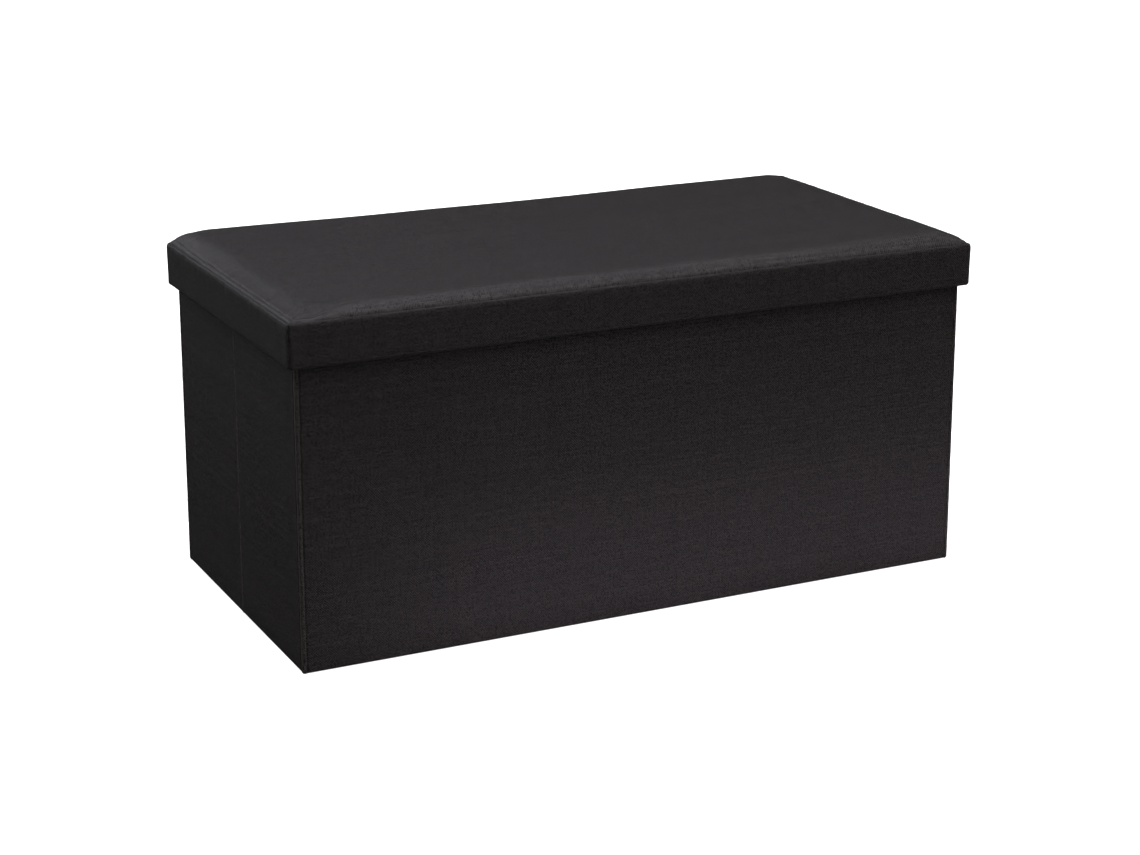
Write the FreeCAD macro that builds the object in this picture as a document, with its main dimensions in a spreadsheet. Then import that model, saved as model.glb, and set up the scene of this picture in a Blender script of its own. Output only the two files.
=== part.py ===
"""Folding storage ottoman: a fabric-covered box whose short sides crease inwards, a loose base board
and a padded lift-off lid.

Frame: origin on the floor under the middle of the object, X along the long side, the front is -Y,
+Z up, millimetres.

The shell is six stiff panels joined only by cloth. The long front and back walls are whole. Each short
side is two half panels that meet at a vertical crease halfway along it. A corner hinges on the panels'
inner faces and a crease on their outer faces, so the halves fold in between the two long walls.
"""

import FreeCAD, Part
import Sketcher
import os
import re

PARTS_FOLDER = "parts"

# Driving dimensions, in millimetres: (alias, value, meaning).
DIMENSIONS = (
    ("body_width", 742, "shell outside, along X"),
    ("body_depth", 360, "shell outside, along Y"),
    ("wall_height", 323, "floor to the top edge of the walls"),
    ("cloth", 1.0, "outer fabric, with its backing"),
    ("wall_board", 4.2, "fibreboard of the walls"),
    ("wall_lining", 0.8, "non-woven lining of the walls"),
    ("hinge_gap", 0.4, "slit between neighbouring panels at rest"),
    ("corner_seam", 6, "width of a corner seam on the long wall"),
    ("base_slack", 5, "gap between the base and the walls"),
    ("base_sheet", 4.0, "fibreboard of the base"),
    ("base_wrap", 0.6, "non-woven wrapped round the base"),
    ("base_margin", 28, "wrap folded under the base's edge"),
    ("base_corner", 6, "corner radius of the base"),
    ("tab_width", 25, "pull tab, along X"),
    ("tab_thick", 1.2, "webbing of the pull tab"),
    ("tab_run", 52, "straight run of the pull tab's loop"),
    ("tab_bend", 4.6, "outer radius of the loop's ends"),
    ("tab_inset", 60, "front edge of the base to the tab's middle"),
    ("overhang", 9, "lid beyond the shell, on every side"),
    ("lid_slack", 0.4, "lid lining above the walls"),
    ("lid_lining", 0.6, "non-woven lining of the lid"),
    ("lid_board", 4.0, "fibreboard under the foam"),
    ("lid_joint", 0.2, "glue line round the lid's board and foam"),
    ("skirt_board", 3.0, "fibreboard of the lid's skirt"),
    ("skirt_drop", 16, "skirt below the top of the walls"),
    ("skirt_rise", 15, "skirt board above the top of the walls"),
    ("seam_rise", 23, "top seam above the lid's board"),
    ("foam_rise", 8, "top of the foam above the seam"),
    ("foam_round", 7.5, "rounding of the foam's top edges"),
    ("staple_crown", 10, "width of a staple"),
    ("staple_wire", 0.7, "staple wire, square"),
    ("staple_leg", 2.4, "staple leg into the skirt"),
    ("staple_up", 10, "staple row above the skirt's bottom edge"),
)
LONG_SIDE_STAPLES = 8
SHORT_SIDE_STAPLES = 4

# Levels and faces worked out from the driving dimensions, as expressions of the sheet's aliases.
PANEL = "(cloth + wall_board + wall_lining)"
HALF_WIDTH = "(body_width / 2)"
HALF_DEPTH = "(body_depth / 2)"
BASE_HALF_X = f"({HALF_WIDTH} - {PANEL} - base_slack)"
BASE_HALF_Y = f"({HALF_DEPTH} - {PANEL} - base_slack)"
BASE_TOP = "(base_sheet + 2 * base_wrap)"
LID_HALF_X = f"({HALF_WIDTH} + overhang)"
LID_HALF_Y = f"({HALF_DEPTH} + overhang)"
LINING_BOTTOM = "(wall_height + lid_slack)"
LID_BOARD_BOTTOM = f"({LINING_BOTTOM} + lid_lining)"
LID_BOARD_TOP = f"({LID_BOARD_BOTTOM} + lid_board)"
SEAM_LEVEL = f"({LID_BOARD_TOP} + seam_rise)"
SKIRT_BOTTOM = "(wall_height - skirt_drop)"
SKIRT_BOARD_BOTTOM = f"({SKIRT_BOTTOM} + cloth)"
SKIRT_BOARD_TOP = "(wall_height + skirt_rise)"
SKIRT_LAYERS = "(cloth + skirt_board)"

doc = FreeCAD.newDocument("folding_storage_ottoman")
sheet = doc.addObject("Spreadsheet::Sheet", "Dims")
for row, (alias, size, meaning) in enumerate(DIMENSIONS, start=1):
    sheet.set(f"A{row}", alias)
    sheet.set(f"B{row}", str(size))
    sheet.set(f"C{row}", meaning)
    sheet.setAlias(f"B{row}", alias)
doc.recompute()

ALIASES = {alias for alias, size, meaning in DIMENSIONS}
subparts = []


def bound(expression):
    """The expression with each alias pointing at the sheet."""
    return re.sub(r"[a-z]\w*", lambda m: f"Dims.{m[0]}" if m[0] in ALIASES else m[0], str(expression))


def size_of(expression):
    """The expression's present value, for drawing a sketch before its constraints bind it."""
    return float(sheet.evalExpression(bound(expression)))


def subpart(feature, label):
    """Gives a finished feature the label that names its file."""
    feature.Label = label
    subparts.append(feature)
    return feature


def new_body(name):
    return doc.addObject("PartDesign::Body", name)


def new_sketch(body, plane):
    """An empty sketch on one of the body's own origin planes: XY, XZ or YZ."""
    sketch = body.newObject("Sketcher::SketchObject", body.Name + "_sketch")
    origin_plane = next(f for f in body.Origin.OriginFeatures if f.Role == plane + "_Plane")
    sketch.AttachmentSupport = [(origin_plane, "")]
    sketch.MapMode = "FlatFace"
    return sketch


def pin_point(sketch, geometry, end, across, up):
    """Holds an end of a line or arc at a place given by two expressions."""
    for kind, expression in (("DistanceX", across), ("DistanceY", up)):
        constraint = Sketcher.Constraint(kind, -1, 1, geometry, end, size_of(expression))
        index = sketch.addConstraint(constraint)
        sketch.setExpression(f"Constraints[{index}]", bound(expression))


def draw_polygon(sketch, corners):
    """A closed outline of straight lines through corners, each a pair of expressions."""
    points = [FreeCAD.Vector(size_of(across), size_of(up), 0) for across, up in corners]
    first = sketch.GeometryCount
    count = len(points)
    for i in range(count):
        sketch.addGeometry(Part.LineSegment(points[i], points[(i + 1) % count]), False)
    for i, (across, up) in enumerate(corners):
        sketch.addConstraint(Sketcher.Constraint("Coincident", first + i, 2, first + (i + 1) % count, 1))
        pin_point(sketch, first + i, 1, across, up)


def rectangle(low_across, high_across, low_up, high_up):
    return [(low_across, low_up), (high_across, low_up), (high_across, high_up), (low_across, high_up)]


def pad(body, sketch, length, symmetric=True):
    """Pads the sketch by an expression, on both sides of its plane or along its normal."""
    feature = body.newObject("PartDesign::Pad", body.Name + "_pad")
    feature.Profile = sketch
    feature.SideType = "Symmetric" if symmetric else "One side"
    feature.setExpression("Length", bound(length))
    return feature


def place(feature, **shifts):
    """Moves a feature by expressions along x, y and z."""
    for axis, expression in shifts.items():
        feature.setExpression(f"Placement.Base.{axis}", bound(expression))


def box(name, x, y, z):
    """A Part::Box between pairs of expressions."""
    feature = doc.addObject("Part::Box", name)
    for edge, (low, high) in (("Length", x), ("Width", y), ("Height", z)):
        feature.setExpression(edge, bound(f"({high}) - ({low})"))
    place(feature, x=x[0], y=y[0], z=z[0])
    return feature


def cut(name, whole, tool):
    feature = doc.addObject("Part::Cut", name)
    feature.Base = whole
    feature.Tool = tool
    return feature


def upright_edges(shape):
    """Names of the edges that run along Z."""
    return [
        f"Edge{i}"
        for i, edge in enumerate(shape.Edges, start=1)
        if edge.Length > 0 and abs(edge.BoundBox.ZLength - edge.Length) < 1e-6
    ]


def round_edges(body, base_feature, choose, radius):
    """Fillets the edges of the body's last feature that choose picks."""
    doc.recompute()
    fillet = body.newObject("PartDesign::Fillet", body.Name + "_fillet")
    fillet.Base = (base_feature, choose(base_feature.Shape))
    fillet.setExpression("Radius", bound(radius))


# ---- Shell walls ----


def hem_profile(outer, sign):
    """A C-shaped section of outer fabric: the face, turned in over the board's top and bottom edges.

    outer is the outside face and sign points from it to the inside of the box."""
    face = f"({outer}) + {sign} * cloth"
    inner = f"({outer}) + {sign} * {PANEL}"
    return [
        (outer, "0"),
        (inner, "0"),
        (inner, "cloth"),
        (face, "cloth"),
        (face, "wall_height - cloth"),
        (inner, "wall_height - cloth"),
        (inner, "wall_height"),
        (outer, "wall_height"),
    ]


def long_wall(name, side):
    """The front (side -1) or back (side 1) wall: fabric, board and lining, and a seam at each end."""
    outer = f"({side}) * {HALF_DEPTH}"
    board_outer = f"({side}) * ({HALF_DEPTH} - cloth)"
    board_inner = f"({side}) * ({HALF_DEPTH} - cloth - wall_board)"
    inner = f"({side}) * ({HALF_DEPTH} - {PANEL})"
    board_low, board_high = sorted((board_outer, board_inner), key=size_of)
    lining_low, lining_high = sorted((board_inner, inner), key=size_of)
    board_x = (f"-({HALF_WIDTH} - cloth)", f"{HALF_WIDTH} - cloth")
    inside_hem = ("cloth", "wall_height - cloth")

    cover = new_body(name + "_cover")
    sketch = new_sketch(cover, "YZ")
    draw_polygon(sketch, hem_profile(outer, -side))
    pad(cover, sketch, "body_width - 2 * corner_seam")
    subpart(cover, name + "_cover")
    subpart(box(name + "_board", board_x, (board_low, board_high), inside_hem), name + "_board")
    subpart(box(name + "_lining", board_x, (lining_low, lining_high), inside_hem), name + "_lining")
    for end, end_name in ((-1, "left"), (1, "right")):
        corner_seam(f"{name.split('_')[0]}_{end_name}_corner_seam", end, side)


def corner_seam(name, end, side):
    """The sewn seam that wraps one upright end of a long wall, an L in plan."""
    end_face = f"({end}) * {HALF_WIDTH}"
    outer = f"({side}) * {HALF_DEPTH}"
    body = new_body(name)
    sketch = new_sketch(body, "XY")
    draw_polygon(
        sketch,
        [
            (end_face, outer),
            (f"({end}) * ({HALF_WIDTH} - corner_seam)", outer),
            (f"({end}) * ({HALF_WIDTH} - corner_seam)", f"({side}) * ({HALF_DEPTH} - cloth)"),
            (f"({end}) * ({HALF_WIDTH} - cloth)", f"({side}) * ({HALF_DEPTH} - cloth)"),
            (f"({end}) * ({HALF_WIDTH} - cloth)", f"({side}) * ({HALF_DEPTH} - {PANEL})"),
            (end_face, f"({side}) * ({HALF_DEPTH} - {PANEL})"),
        ],
    )
    pad(body, sketch, "wall_height", symmetric=False)
    subpart(body, name)


def side_half(name, end, side):
    """Half of a short wall, from the crease at Y 0 to the corner on that side."""
    outer = f"({end}) * {HALF_WIDTH}"
    layers = [f"({end}) * ({HALF_WIDTH} - {depth})" for depth in ("cloth", "(cloth + wall_board)", PANEL)]
    crease = f"({side}) * hinge_gap / 2"
    corner = f"({side}) * ({HALF_DEPTH} - {PANEL} - hinge_gap)"
    run = tuple(sorted((crease, corner), key=size_of))
    inside_hem = ("cloth", "wall_height - cloth")

    cover = new_body(name + "_cover")
    sketch = new_sketch(cover, "XZ")
    draw_polygon(sketch, hem_profile(outer, -end))
    pad(cover, sketch, f"{HALF_DEPTH} - {PANEL} - 1.5 * hinge_gap")
    place(cover, y=f"(({crease}) + ({corner})) / 2")
    subpart(cover, name + "_cover")
    board_x = tuple(sorted(layers[:2], key=size_of))
    lining_x = tuple(sorted(layers[1:], key=size_of))
    subpart(box(name + "_board", board_x, run, inside_hem), name + "_board")
    subpart(box(name + "_lining", lining_x, run, inside_hem), name + "_lining")


long_wall("front_wall", -1)
long_wall("back_wall", 1)
for end, end_name in ((-1, "left"), (1, "right")):
    for side, side_name in ((-1, "front"), (1, "rear")):
        side_half(f"{end_name}_{side_name}_half", end, side)


# ---- Loose base ----


def rounded_slab(name, half_x, half_y, bottom, thickness, radius):
    """A flat slab with rounded corners, centred on the Z axis."""
    body = new_body(name)
    sketch = new_sketch(body, "XY")
    draw_polygon(sketch, rectangle(f"-({half_x})", half_x, f"-({half_y})", half_y))
    slab = pad(body, sketch, thickness, symmetric=False)
    round_edges(body, slab, upright_edges, radius)
    place(body, z=bottom)
    return body


def base_wrap():
    """The cloth round the base board: over the top, round the edge and a margin folded underneath."""
    outside = rounded_slab("base_wrap_outside", BASE_HALF_X, BASE_HALF_Y, "0", BASE_TOP, "base_corner")
    hollow = rounded_slab(
        "base_wrap_hollow",
        f"{BASE_HALF_X} - base_wrap",
        f"{BASE_HALF_Y} - base_wrap",
        "base_wrap",
        "base_sheet",
        "base_corner - base_wrap",
    )
    window = box(
        "base_wrap_window",
        (f"-({BASE_HALF_X} - base_margin)", f"{BASE_HALF_X} - base_margin"),
        (f"-({BASE_HALF_Y} - base_margin)", f"{BASE_HALF_Y} - base_margin"),
        ("0", "base_wrap"),
    )
    subpart(cut("base_wrap", cut("base_wrap_open", outside, window), hollow), "base_wrap")


def draw_slot(sketch, half_run, centre_up, radius):
    """A stadium: two level lines joined by half circles, centred on the vertical axis."""
    a, c, r = size_of(half_run), size_of(centre_up), size_of(radius)
    first = sketch.GeometryCount
    up, down = c + r, c - r
    sketch.addGeometry(Part.LineSegment(FreeCAD.Vector(-a, down, 0), FreeCAD.Vector(a, down, 0)), False)
    right = Part.Arc(FreeCAD.Vector(a, down, 0), FreeCAD.Vector(a + r, c, 0), FreeCAD.Vector(a, up, 0))
    sketch.addGeometry(right, False)
    sketch.addGeometry(Part.LineSegment(FreeCAD.Vector(a, up, 0), FreeCAD.Vector(-a, up, 0)), False)
    left = Part.Arc(FreeCAD.Vector(-a, up, 0), FreeCAD.Vector(-a - r, c, 0), FreeCAD.Vector(-a, down, 0))
    sketch.addGeometry(left, False)
    for i in range(4):
        sketch.addConstraint(Sketcher.Constraint("Tangent", first + i, 2, first + (i + 1) % 4, 1))
    pin_point(sketch, first + 1, 3, half_run, centre_up)
    pin_point(sketch, first + 3, 3, f"-({half_run})", centre_up)
    index = sketch.addConstraint(Sketcher.Constraint("Radius", first + 1, r))
    sketch.setExpression(f"Constraints[{index}]", bound(radius))


def pull_tab():
    """A flat loop of webbing on the base, near its front edge, to lift the base by."""
    body = new_body("base_pull_tab")
    sketch = new_sketch(body, "YZ")
    draw_slot(sketch, "tab_run / 2", "tab_bend", "tab_bend")
    draw_slot(sketch, "tab_run / 2", "tab_bend", "tab_bend - tab_thick")
    pad(body, sketch, "tab_width")
    place(body, y=f"-({BASE_HALF_Y} - tab_inset)", z=BASE_TOP)
    subpart(body, "base_pull_tab")


subpart(
    rounded_slab(
        "base_board",
        f"{BASE_HALF_X} - base_wrap",
        f"{BASE_HALF_Y} - base_wrap",
        "base_wrap",
        "base_sheet",
        "base_corner - base_wrap",
    ),
    "base_board",
)
base_wrap()
pull_tab()


# ---- Lid ----


def top_edges(shape):
    """Names of the edges round a shape's highest face."""
    return [
        f"Edge{i}"
        for i, edge in enumerate(shape.Edges, start=1)
        if abs(edge.BoundBox.ZMin - shape.BoundBox.ZMax) < 1e-6
    ]


def soft_block(name, half_x, half_y, bottom, top, radius):
    """A block whose top edges are rounded, like foam pulled down by its cover."""
    body = new_body(name)
    sketch = new_sketch(body, "XY")
    draw_polygon(sketch, rectangle(f"-({half_x})", half_x, f"-({half_y})", half_y))
    block = pad(body, sketch, f"({top}) - ({bottom})", symmetric=False)
    round_edges(body, block, top_edges, radius)
    place(body, z=bottom)
    return body


def foam():
    """The pad: it fills the tray between the skirt boards, then spreads over their top edges."""
    inner_x = f"{LID_HALF_X} - {SKIRT_LAYERS} - lid_joint"
    inner_y = f"{LID_HALF_Y} - {SKIRT_LAYERS} - lid_joint"
    shoulder = f"{SKIRT_BOARD_TOP} + lid_joint"
    across, along = (f"-({inner_x})", inner_x), (f"-({inner_y})", inner_y)
    root = box("foam_root", across, along, (LID_BOARD_TOP, shoulder))
    half_x, half_y = f"{LID_HALF_X} - cloth", f"{LID_HALF_Y} - cloth"
    slab = soft_block("foam_top", half_x, half_y, shoulder, f"{SEAM_LEVEL} + foam_rise", "foam_round")
    fused = doc.addObject("Part::MultiFuse", "lid_foam")
    fused.Shapes = [root, slab]
    fused.Refine = True
    subpart(fused, "lid_foam")


def top_cover():
    """The sewn top panel: a sheet over the foam that turns down to the seam."""
    outer_top = f"{SEAM_LEVEL} + foam_rise + cloth"
    round_over = "foam_round + cloth"
    outside = soft_block("cover_outside", LID_HALF_X, LID_HALF_Y, SEAM_LEVEL, outer_top, round_over)
    half_x, half_y = f"{LID_HALF_X} - cloth", f"{LID_HALF_Y} - cloth"
    inner_top = f"{SEAM_LEVEL} + foam_rise"
    inside = soft_block("cover_inside", half_x, half_y, f"{SEAM_LEVEL} - cloth", inner_top, "foam_round")
    subpart(cut("lid_top_cover", outside, inside), "lid_top_cover")


def skirt_profile(outer, sign):
    """An L-shaped section of skirt fabric: the face, turned in under the skirt board."""
    face = f"({outer}) + ({sign}) * cloth"
    inner = f"({outer}) + ({sign}) * {SKIRT_LAYERS}"
    return [
        (outer, SKIRT_BOTTOM),
        (inner, SKIRT_BOTTOM),
        (inner, SKIRT_BOARD_BOTTOM),
        (face, SKIRT_BOARD_BOTTOM),
        (face, SEAM_LEVEL),
        (outer, SEAM_LEVEL),
    ]


def long_skirt(name, side):
    """The front or back skirt: fabric over the lid's whole length, and a shorter board behind it."""
    outer = f"({side}) * {LID_HALF_Y}"
    cover = new_body(f"lid_{name}_skirt_cover")
    sketch = new_sketch(cover, "YZ")
    draw_polygon(sketch, skirt_profile(outer, -side))
    pad(cover, sketch, f"2 * {LID_HALF_X}")
    subpart(cover, f"lid_{name}_skirt_cover")
    faces = (f"({side}) * ({LID_HALF_Y} - cloth)", f"({side}) * ({LID_HALF_Y} - {SKIRT_LAYERS})")
    board = box(
        f"lid_{name}_skirt_board",
        (f"-({LID_HALF_X} - {SKIRT_LAYERS})", f"{LID_HALF_X} - {SKIRT_LAYERS}"),
        tuple(sorted(faces, key=size_of)),
        (SKIRT_BOARD_BOTTOM, SKIRT_BOARD_TOP),
    )
    subpart(board, f"lid_{name}_skirt_board")


def short_skirt(name, end):
    """The left or right skirt: its fabric and board both fit between the long skirts."""
    outer = f"({end}) * {LID_HALF_X}"
    cover = new_body(f"lid_{name}_skirt_cover")
    sketch = new_sketch(cover, "XZ")
    draw_polygon(sketch, skirt_profile(outer, -end))
    span = f"2 * ({LID_HALF_Y} - {SKIRT_LAYERS})"
    pad(cover, sketch, span)
    subpart(cover, f"lid_{name}_skirt_cover")
    faces = (f"({end}) * ({LID_HALF_X} - cloth)", f"({end}) * ({LID_HALF_X} - {SKIRT_LAYERS})")
    board = box(
        f"lid_{name}_skirt_board",
        tuple(sorted(faces, key=size_of)),
        (f"-({span}) / 2", f"({span}) / 2"),
        (SKIRT_BOARD_BOTTOM, SKIRT_BOARD_TOP),
    )
    subpart(board, f"lid_{name}_skirt_board")


def lid_lining():
    """The lining: a shallow tray that covers the lid's board and the inside of the skirt."""
    outer_x, outer_y = f"({LID_HALF_X} - {SKIRT_LAYERS})", f"({LID_HALF_Y} - {SKIRT_LAYERS})"
    inner_x, inner_y = f"({outer_x} - lid_lining)", f"({outer_y} - lid_lining)"
    tray = box(
        "lining_outside",
        (f"-{outer_x}", outer_x),
        (f"-{outer_y}", outer_y),
        (SKIRT_BOARD_BOTTOM, LID_BOARD_BOTTOM),
    )
    hollow = box(
        "lining_inside",
        (f"-{inner_x}", inner_x),
        (f"-{inner_y}", inner_y),
        (SKIRT_BOARD_BOTTOM, LINING_BOTTOM),
    )
    subpart(cut("lid_lining", tray, hollow), "lid_lining")


def staple(name, turn, along, inset):
    """One staple on the inside of the skirt: a U of square wire, legs through the lining into the board.

    turn is the skirt's direction in degrees, along the place on that skirt, inset the lining's face."""
    body = new_body(name)
    sketch = new_sketch(body, "XY")
    half, wire = "staple_crown / 2", "staple_wire"
    draw_polygon(
        sketch,
        [
            (f"-({half})", f"-{wire}"),
            (half, f"-{wire}"),
            (half, "staple_leg"),
            (f"{half} - {wire}", "staple_leg"),
            (f"{half} - {wire}", "0"),
            (f"-({half} - {wire})", "0"),
            (f"-({half} - {wire})", "staple_leg"),
            (f"-({half})", "staple_leg"),
        ],
    )
    pad(body, sketch, wire, symmetric=False)
    body.Placement.Rotation = FreeCAD.Rotation(FreeCAD.Vector(0, 0, 1), turn)
    across = {0: ("x", "y", 1), 180: ("x", "y", -1), 90: ("y", "x", -1), 270: ("y", "x", 1)}[turn]
    run_axis, depth_axis, sign = across
    depth = f"({sign}) * ({inset})"
    place(body, **{run_axis: along, depth_axis: depth, "z": f"{SKIRT_BOTTOM} + staple_up"})
    return body


def staples():
    """The staples that hold the turned-in fabric and lining to the skirt boards, one node."""
    inset_x = f"{LID_HALF_X} - {SKIRT_LAYERS} - lid_lining"
    inset_y = f"{LID_HALF_Y} - {SKIRT_LAYERS} - lid_lining"
    rows = (
        (0, LONG_SIDE_STAPLES, inset_x, inset_y),
        (180, LONG_SIDE_STAPLES, inset_x, inset_y),
        (90, SHORT_SIDE_STAPLES, inset_y, inset_x),
        (270, SHORT_SIDE_STAPLES, inset_y, inset_x),
    )
    made = []
    for turn, count, half_run, inset in rows:
        for i in range(count):
            along = f"({half_run}) * {2 * (i + 0.5) / count - 1:.4f}"
            made.append(staple(f"staple_{turn}_{i}", turn, along, inset))
    group = doc.addObject("Part::Compound", "lid_staples")
    group.Links = made
    subpart(group, "lid_staples")


board_half_x = f"{LID_HALF_X} - {SKIRT_LAYERS} - lid_joint"
board_half_y = f"{LID_HALF_Y} - {SKIRT_LAYERS} - lid_joint"
subpart(
    box(
        "lid_board",
        (f"-({board_half_x})", board_half_x),
        (f"-({board_half_y})", board_half_y),
        (LID_BOARD_BOTTOM, LID_BOARD_TOP),
    ),
    "lid_board",
)
foam()
top_cover()
long_skirt("front", -1)
long_skirt("back", 1)
short_skirt("left", -1)
short_skirt("right", 1)
lid_lining()
staples()


# ---- Check and export ----


def export_all():
    """Refuses a failed feature or a bad shape, then writes one STEP file for each sub-part."""
    doc.recompute()
    failed = [o.Label for o in doc.Objects if {"Invalid", "Error"} & set(o.State)]
    if failed:
        raise RuntimeError(f"these features failed: {failed}")
    os.makedirs(PARTS_FOLDER, exist_ok=True)
    for feature in subparts:
        shape = feature.Shape
        if shape.isNull() or not shape.isValid() or not shape.Solids:
            raise RuntimeError(f"{feature.Label} has no valid solid")
        shape.exportStep(os.path.join(PARTS_FOLDER, feature.Label + ".step"))
        print(f"{feature.Label:30s} {len(shape.Solids):3d} solids {shape.Volume:12.1f} mm3")


export_all()
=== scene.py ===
"""Looks of the folding storage ottoman: woven covers, seams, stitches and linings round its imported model.

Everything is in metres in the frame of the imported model: +Z up, X along the long side, the front at -Y.
"""

import math

import bpy
import numpy as np
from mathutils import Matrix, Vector


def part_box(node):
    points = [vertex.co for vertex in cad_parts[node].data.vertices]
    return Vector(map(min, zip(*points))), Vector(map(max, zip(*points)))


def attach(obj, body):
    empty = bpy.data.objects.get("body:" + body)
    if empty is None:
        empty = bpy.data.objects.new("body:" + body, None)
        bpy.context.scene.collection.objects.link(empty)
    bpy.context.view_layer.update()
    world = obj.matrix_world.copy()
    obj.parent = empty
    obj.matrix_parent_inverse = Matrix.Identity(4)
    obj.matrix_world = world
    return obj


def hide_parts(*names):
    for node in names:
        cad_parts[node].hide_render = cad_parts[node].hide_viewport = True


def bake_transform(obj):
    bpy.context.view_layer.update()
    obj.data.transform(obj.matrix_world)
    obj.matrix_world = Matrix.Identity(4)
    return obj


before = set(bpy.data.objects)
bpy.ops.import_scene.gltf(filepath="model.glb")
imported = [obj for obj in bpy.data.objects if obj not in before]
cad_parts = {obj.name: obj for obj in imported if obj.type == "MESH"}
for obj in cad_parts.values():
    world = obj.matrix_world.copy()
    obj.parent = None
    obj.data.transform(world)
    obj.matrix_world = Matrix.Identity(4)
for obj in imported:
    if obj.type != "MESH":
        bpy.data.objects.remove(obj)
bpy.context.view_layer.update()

MM = 0.001
TAU = 2 * math.pi
QUARTER = math.pi / 2
UP = np.array([0, 0, 1.0])

# ---- Sizes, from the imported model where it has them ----

TOP_LOW, TOP_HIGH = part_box("lid_top_cover")
SKIRT_LOW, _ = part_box("lid_front_skirt_cover")
WALL_LOW, WALL_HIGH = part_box("front_wall_cover")
_, BOARD_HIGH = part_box("lid_board")
SEAM_LOW, SEAM_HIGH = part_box("front_left_corner_seam")

LID_HALF_X, LID_HALF_Y = TOP_HIGH.x, TOP_HIGH.y
LID_TOP, SEAM_Z, HEM_Z = TOP_HIGH.z, TOP_LOW.z, SKIRT_LOW.z
HALF_X, HALF_Y = -SEAM_LOW.x, -SEAM_LOW.y
WALL_TOP = WALL_HIGH.z
PANEL = WALL_HIGH.y - WALL_LOW.y
CORNER_SEAM = SEAM_HIGH.x - SEAM_LOW.x

CLOTH = 0.9 * MM
THREAD_PITCH = 1.3 * MM
# How far the cloth's cloudy patches go above and below its own tone.
MOTTLE = 0.36
# The lid's corner radius in plan, and the radius of the walls' rolled edges.
LID_CORNER = 4.5 * MM
WALL_EDGE = 1.6 * MM
STITCH_PITCH = 2.9 * MM

# ---- Small helpers ----


def smooth(t):
    """0 below 0, 1 above 1 and an S curve between."""
    t = np.clip(t, 0.0, 1.0)
    return t * t * (3 - 2 * t)


def bell(distance, width):
    return np.exp(-((distance / width) ** 2))


def ripple(s, shortest, longest, seed):
    """A wavy line through zero, of about unit height, that is the same on every run."""
    draw = np.random.default_rng(seed)
    waves = 9
    lengths = np.geomspace(shortest, longest, waves)
    phases = draw.uniform(0, TAU, waves)
    weights = draw.uniform(0.5, 1.0, waves)
    total = sum(w * np.sin(TAU * s / n + p) for w, n, p in zip(weights, lengths, phases))
    return total / math.sqrt(0.5 * float(np.sum(weights**2)))


def slack_field(x, y, shortest, longest, seed):
    """A slow uneven height over a plane, of about unit height, for cloth that isn't quite flat."""
    draw = np.random.default_rng(seed)
    waves = 14
    total = np.zeros(np.broadcast(x, y).shape)
    for _ in range(waves):
        length = draw.uniform(shortest, longest)
        turn, phase = draw.uniform(0, TAU, 2)
        total += np.sin(TAU * (x * math.cos(turn) + y * math.sin(turn)) / length + phase)
    return total / math.sqrt(0.5 * waves)


def uneven_steps(low, high, fine, coarse, margin):
    """Stations from low to high, fine apart near both ends and coarse apart past the margin."""
    half = (high - low) / 2
    run, stations = 0.0, [0.0]
    while run < half:
        run += fine + (coarse - fine) * min(1.0, run / margin)
        stations.append(run)
    near = np.array(stations) * (half / stations[-1])
    return np.concatenate([low + near, (high - near)[::-1][1:]])


# ---- Mesh makers ----


def new_object(name, vertices, faces, material, face_uvs=None):
    """A mesh object with the given faces. face_uvs has one place in metres for each corner of each face."""
    mesh = bpy.data.meshes.new(name)
    mesh.from_pydata([tuple(v) for v in vertices], [], [tuple(f) for f in faces])
    if face_uvs is not None:
        layer = mesh.uv_layers.new(name="cloth")
        flat = np.array([uv for corners in face_uvs for uv in corners], np.float32)
        layer.data.foreach_set("uv", flat.ravel())
    mesh.polygons.foreach_set("use_smooth", [True] * len(mesh.polygons))
    mesh.materials.append(material)
    mesh.update()
    obj = bpy.data.objects.new(name, mesh)
    bpy.context.scene.collection.objects.link(obj)
    return obj


def tube_object(name, points, uvs, material, outward):
    """A closed section swept along a line, capped at both ends.

    points[row, column] goes round the section by rows and along the line by columns. uvs has one row
    more than points, for the closing strip."""
    rows, columns = points.shape[:2]
    index = np.arange(rows * columns).reshape(rows, columns)
    faces, face_uvs = [], []
    for r in range(rows):
        below = (r + 1) % rows
        for c in range(columns - 1):
            face = [index[r, c], index[r, c + 1], index[below, c + 1], index[below, c]]
            uv = [uvs[r, c], uvs[r, c + 1], uvs[r + 1, c + 1], uvs[r + 1, c]]
            faces.append(face if outward else face[::-1])
            face_uvs.append(uv if outward else uv[::-1])
    for c, turn in ((0, 1), (columns - 1, -1)):
        order = list(range(rows))[:: turn if outward else -turn]
        faces.append([index[r, c] for r in order])
        face_uvs.append([uvs[r, c] for r in order])
    return new_object(name, points.reshape(-1, 3), faces, material, face_uvs)


def band_faces(rings, around):
    """Quads between each ring of vertices and the next one up."""
    faces = []
    for k in range(rings - 1):
        for i in range(around):
            j = (i + 1) % around
            faces.append((k * around + i, k * around + j, (k + 1) * around + j, (k + 1) * around + i))
    return faces


def run_lengths(points):
    """Distance along each row of points from its first column."""
    steps = np.linalg.norm(np.diff(points, axis=1), axis=2)
    return np.concatenate([np.zeros((points.shape[0], 1)), np.cumsum(steps, axis=1)], axis=1)


def girth(points, column):
    """Distance round a swept section from its first row, at one column."""
    return run_lengths(np.swapaxes(points, 0, 1))[column]


def sweep_uvs(around, along, closing, along_x=False):
    """UVs for tube_object, in metres: around for its rows, closing for the last, and along for its columns.

    along_x lays the sweep's length along the cloth's X."""
    v, u = np.meshgrid(along, np.append(around, closing))
    return np.stack([v, u] if along_x else [u, v], axis=2)


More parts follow.
